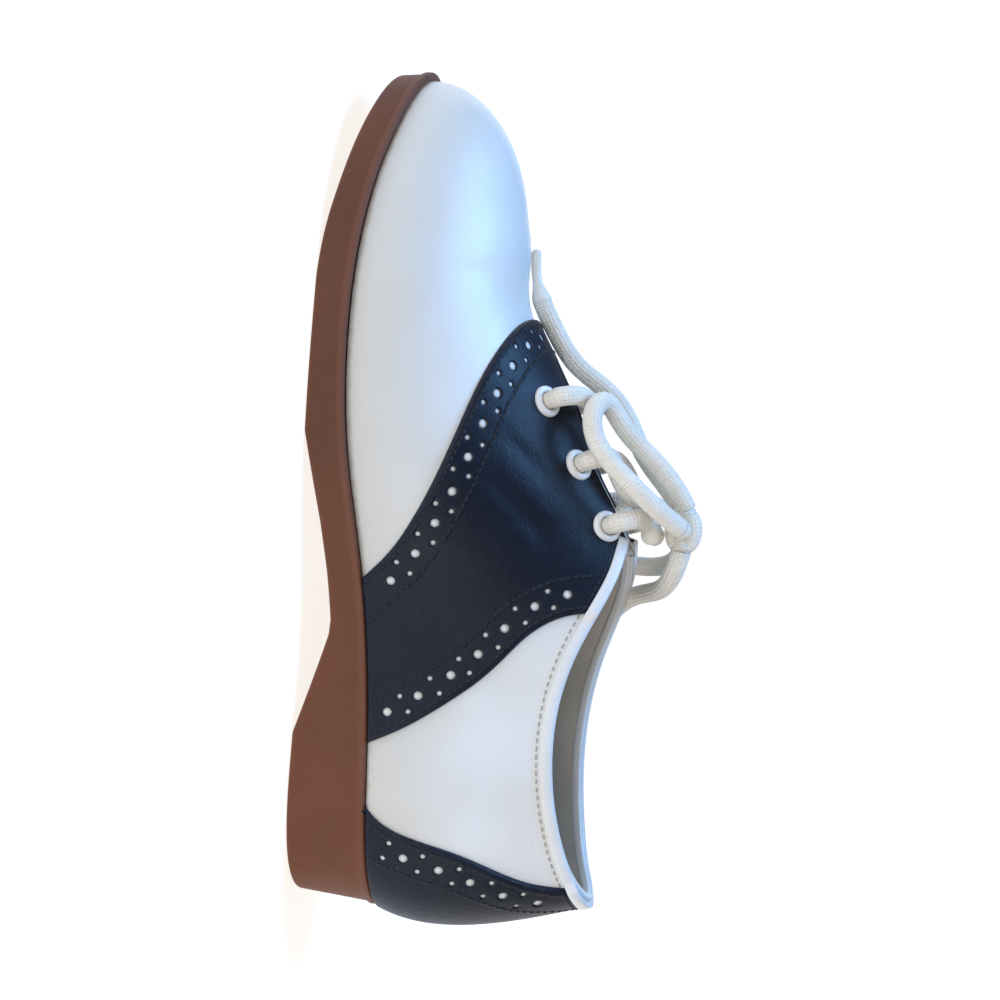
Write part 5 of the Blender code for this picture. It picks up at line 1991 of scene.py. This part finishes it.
# %% Seam of the lining at the heel
LINING_SEAM = ((-1.6, 0.0), (-0.9, 0.45), (0.0, 0.25), (0.9, 0.45), (1.6, 0.0))
SEAM_POINTS, SEAM_FOOT, SEAM_HEAD = 90, 0.14, 0.06
SEAM_OUT, SEAM_BACK = 0.1, 0.5


def make_lining_seam():
    """Sweep the seam's section down the inside of the heel."""
    levels = np.linspace(SEAM_FOOT, float(rib_end(0.0)) - SEAM_HEAD, SEAM_POINTS)
    middle = np.stack((np.zeros(SEAM_POINTS), levels), -1)
    sideways = np.tile((1.0, 0.0, 0.0), (SEAM_POINTS, 1))
    lines = []
    for aside, height in LINING_SEAM:
        line = walk(middle, sideways, aside) if aside else middle
        lines.append(laid(line, WALL_INSIDE + SEAM_OUT - height))
    lines.append(laid(middle, WALL_INSIDE + SEAM_BACK))
    faces = grid_faces(len(lines), SEAM_POINTS, closed=True, flip=True)
    first = tuple(range(0, len(lines) * SEAM_POINTS, SEAM_POINTS))
    faces += [first, tuple(i + SEAM_POINTS - 1 for i in first[::-1])]
    make_piece("lining_seam", np.concatenate(lines), faces, LINING, "upper")


make_lining_seam()

# %% [markdown]
# ## Floor and light
# A plain pale floor and large soft lights show the leather's sheen. A bluish light shines
# from high in front of the toe, as from a window, and a warmer one fills in from the camera's
# side. The floor and the wall round it glow, so that they stay nearly white, as in the
# photograph, without more light on the shoe. The Standard view keeps white at white and
# colours strong.

# %% Floor, world and lights
FLOOR_REACH = 3.0
WALL_HEIGHT = 0.9
WALL_SIDES = 96
STUDIO_GREY = (0.48, 0.48, 0.48, 1)
FLOOR_GLOW = (0.84, 0.82, 0.78, 1)
WALL_GLOW = (1.0, 1.0, 1.0, 1)
LIGHTS = (
    # name, place, aim, size, power, colour
    ("window", (0.05, -0.45, 1.0), (0, 0, 0.05), 0.7, 13, (0.20, 0.50, 1.0)),
    ("ceiling", (0.0, 0.0, 3.2), (0, 0, 0), 4.5, 13, (1.0, 0.97, 0.93)),
    ("fill", (1.3, 0.9, 0.45), (0, 0, 0.05), 0.5, 2.5, (1.0, 0.90, 0.78)),
)
SKY_COLOUR, SKY_STRENGTH = (0.95, 0.97, 1.0, 1), 0.12


def add_stage(name, points, faces, glow):
    """A plain matte surface that glows in a colour of its own."""
    finish = Finish(name, Roughness=0.9, Base_Color=STUDIO_GREY, Emission_Color=glow,
                    Emission_Strength=1.0)
    mesh = bpy.data.meshes.new(name)
    mesh.from_pydata(points.tolist(), [], faces)
    mesh.materials.append(finish.material)
    thing = bpy.data.objects.new(name, mesh)
    bpy.context.scene.collection.objects.link(thing)


def add_studio():
    """A round pale floor with a low pale wall round it, so that no view shows its end."""
    around = 2 * np.pi * np.arange(WALL_SIDES) / WALL_SIDES
    ring = FLOOR_REACH * np.stack((np.cos(around), np.sin(around), 0 * around), -1)
    wall = np.concatenate((ring, ring + (0, 0, WALL_HEIGHT)))
    add_stage("floor", ring, [tuple(range(WALL_SIDES))], FLOOR_GLOW)
    add_stage("backdrop", wall, grid_faces(2, WALL_SIDES, ring=True, flip=True), WALL_GLOW)


def add_light(name, place, aim, size, power, colour):
    """A round area light that shines at a point."""
    data = bpy.data.lights.new(name, "AREA")
    data.shape = "DISK"
    data.size = size
    data.energy = power
    data.color = colour
    light = bpy.data.objects.new(name, data)
    light.location = place
    light.rotation_euler = (Vector(aim) - Vector(place)).to_track_quat("-Z", "Y").to_euler()
    bpy.context.scene.collection.objects.link(light)


add_studio()
for light_row in LIGHTS:
    add_light(*light_row)
bpy.context.scene.view_settings.view_transform = "Standard"

world_light = bpy.data.worlds.new("world")
bpy.context.scene.world = world_light
world_light.use_nodes = True
sky = world_light.node_tree.nodes["Background"]
sky.inputs["Color"].default_value = SKY_COLOUR
sky.inputs["Strength"].default_value = SKY_STRENGTH
print(len(LIGHTS), "lights over a floor", 2 * FLOOR_REACH, "m wide")
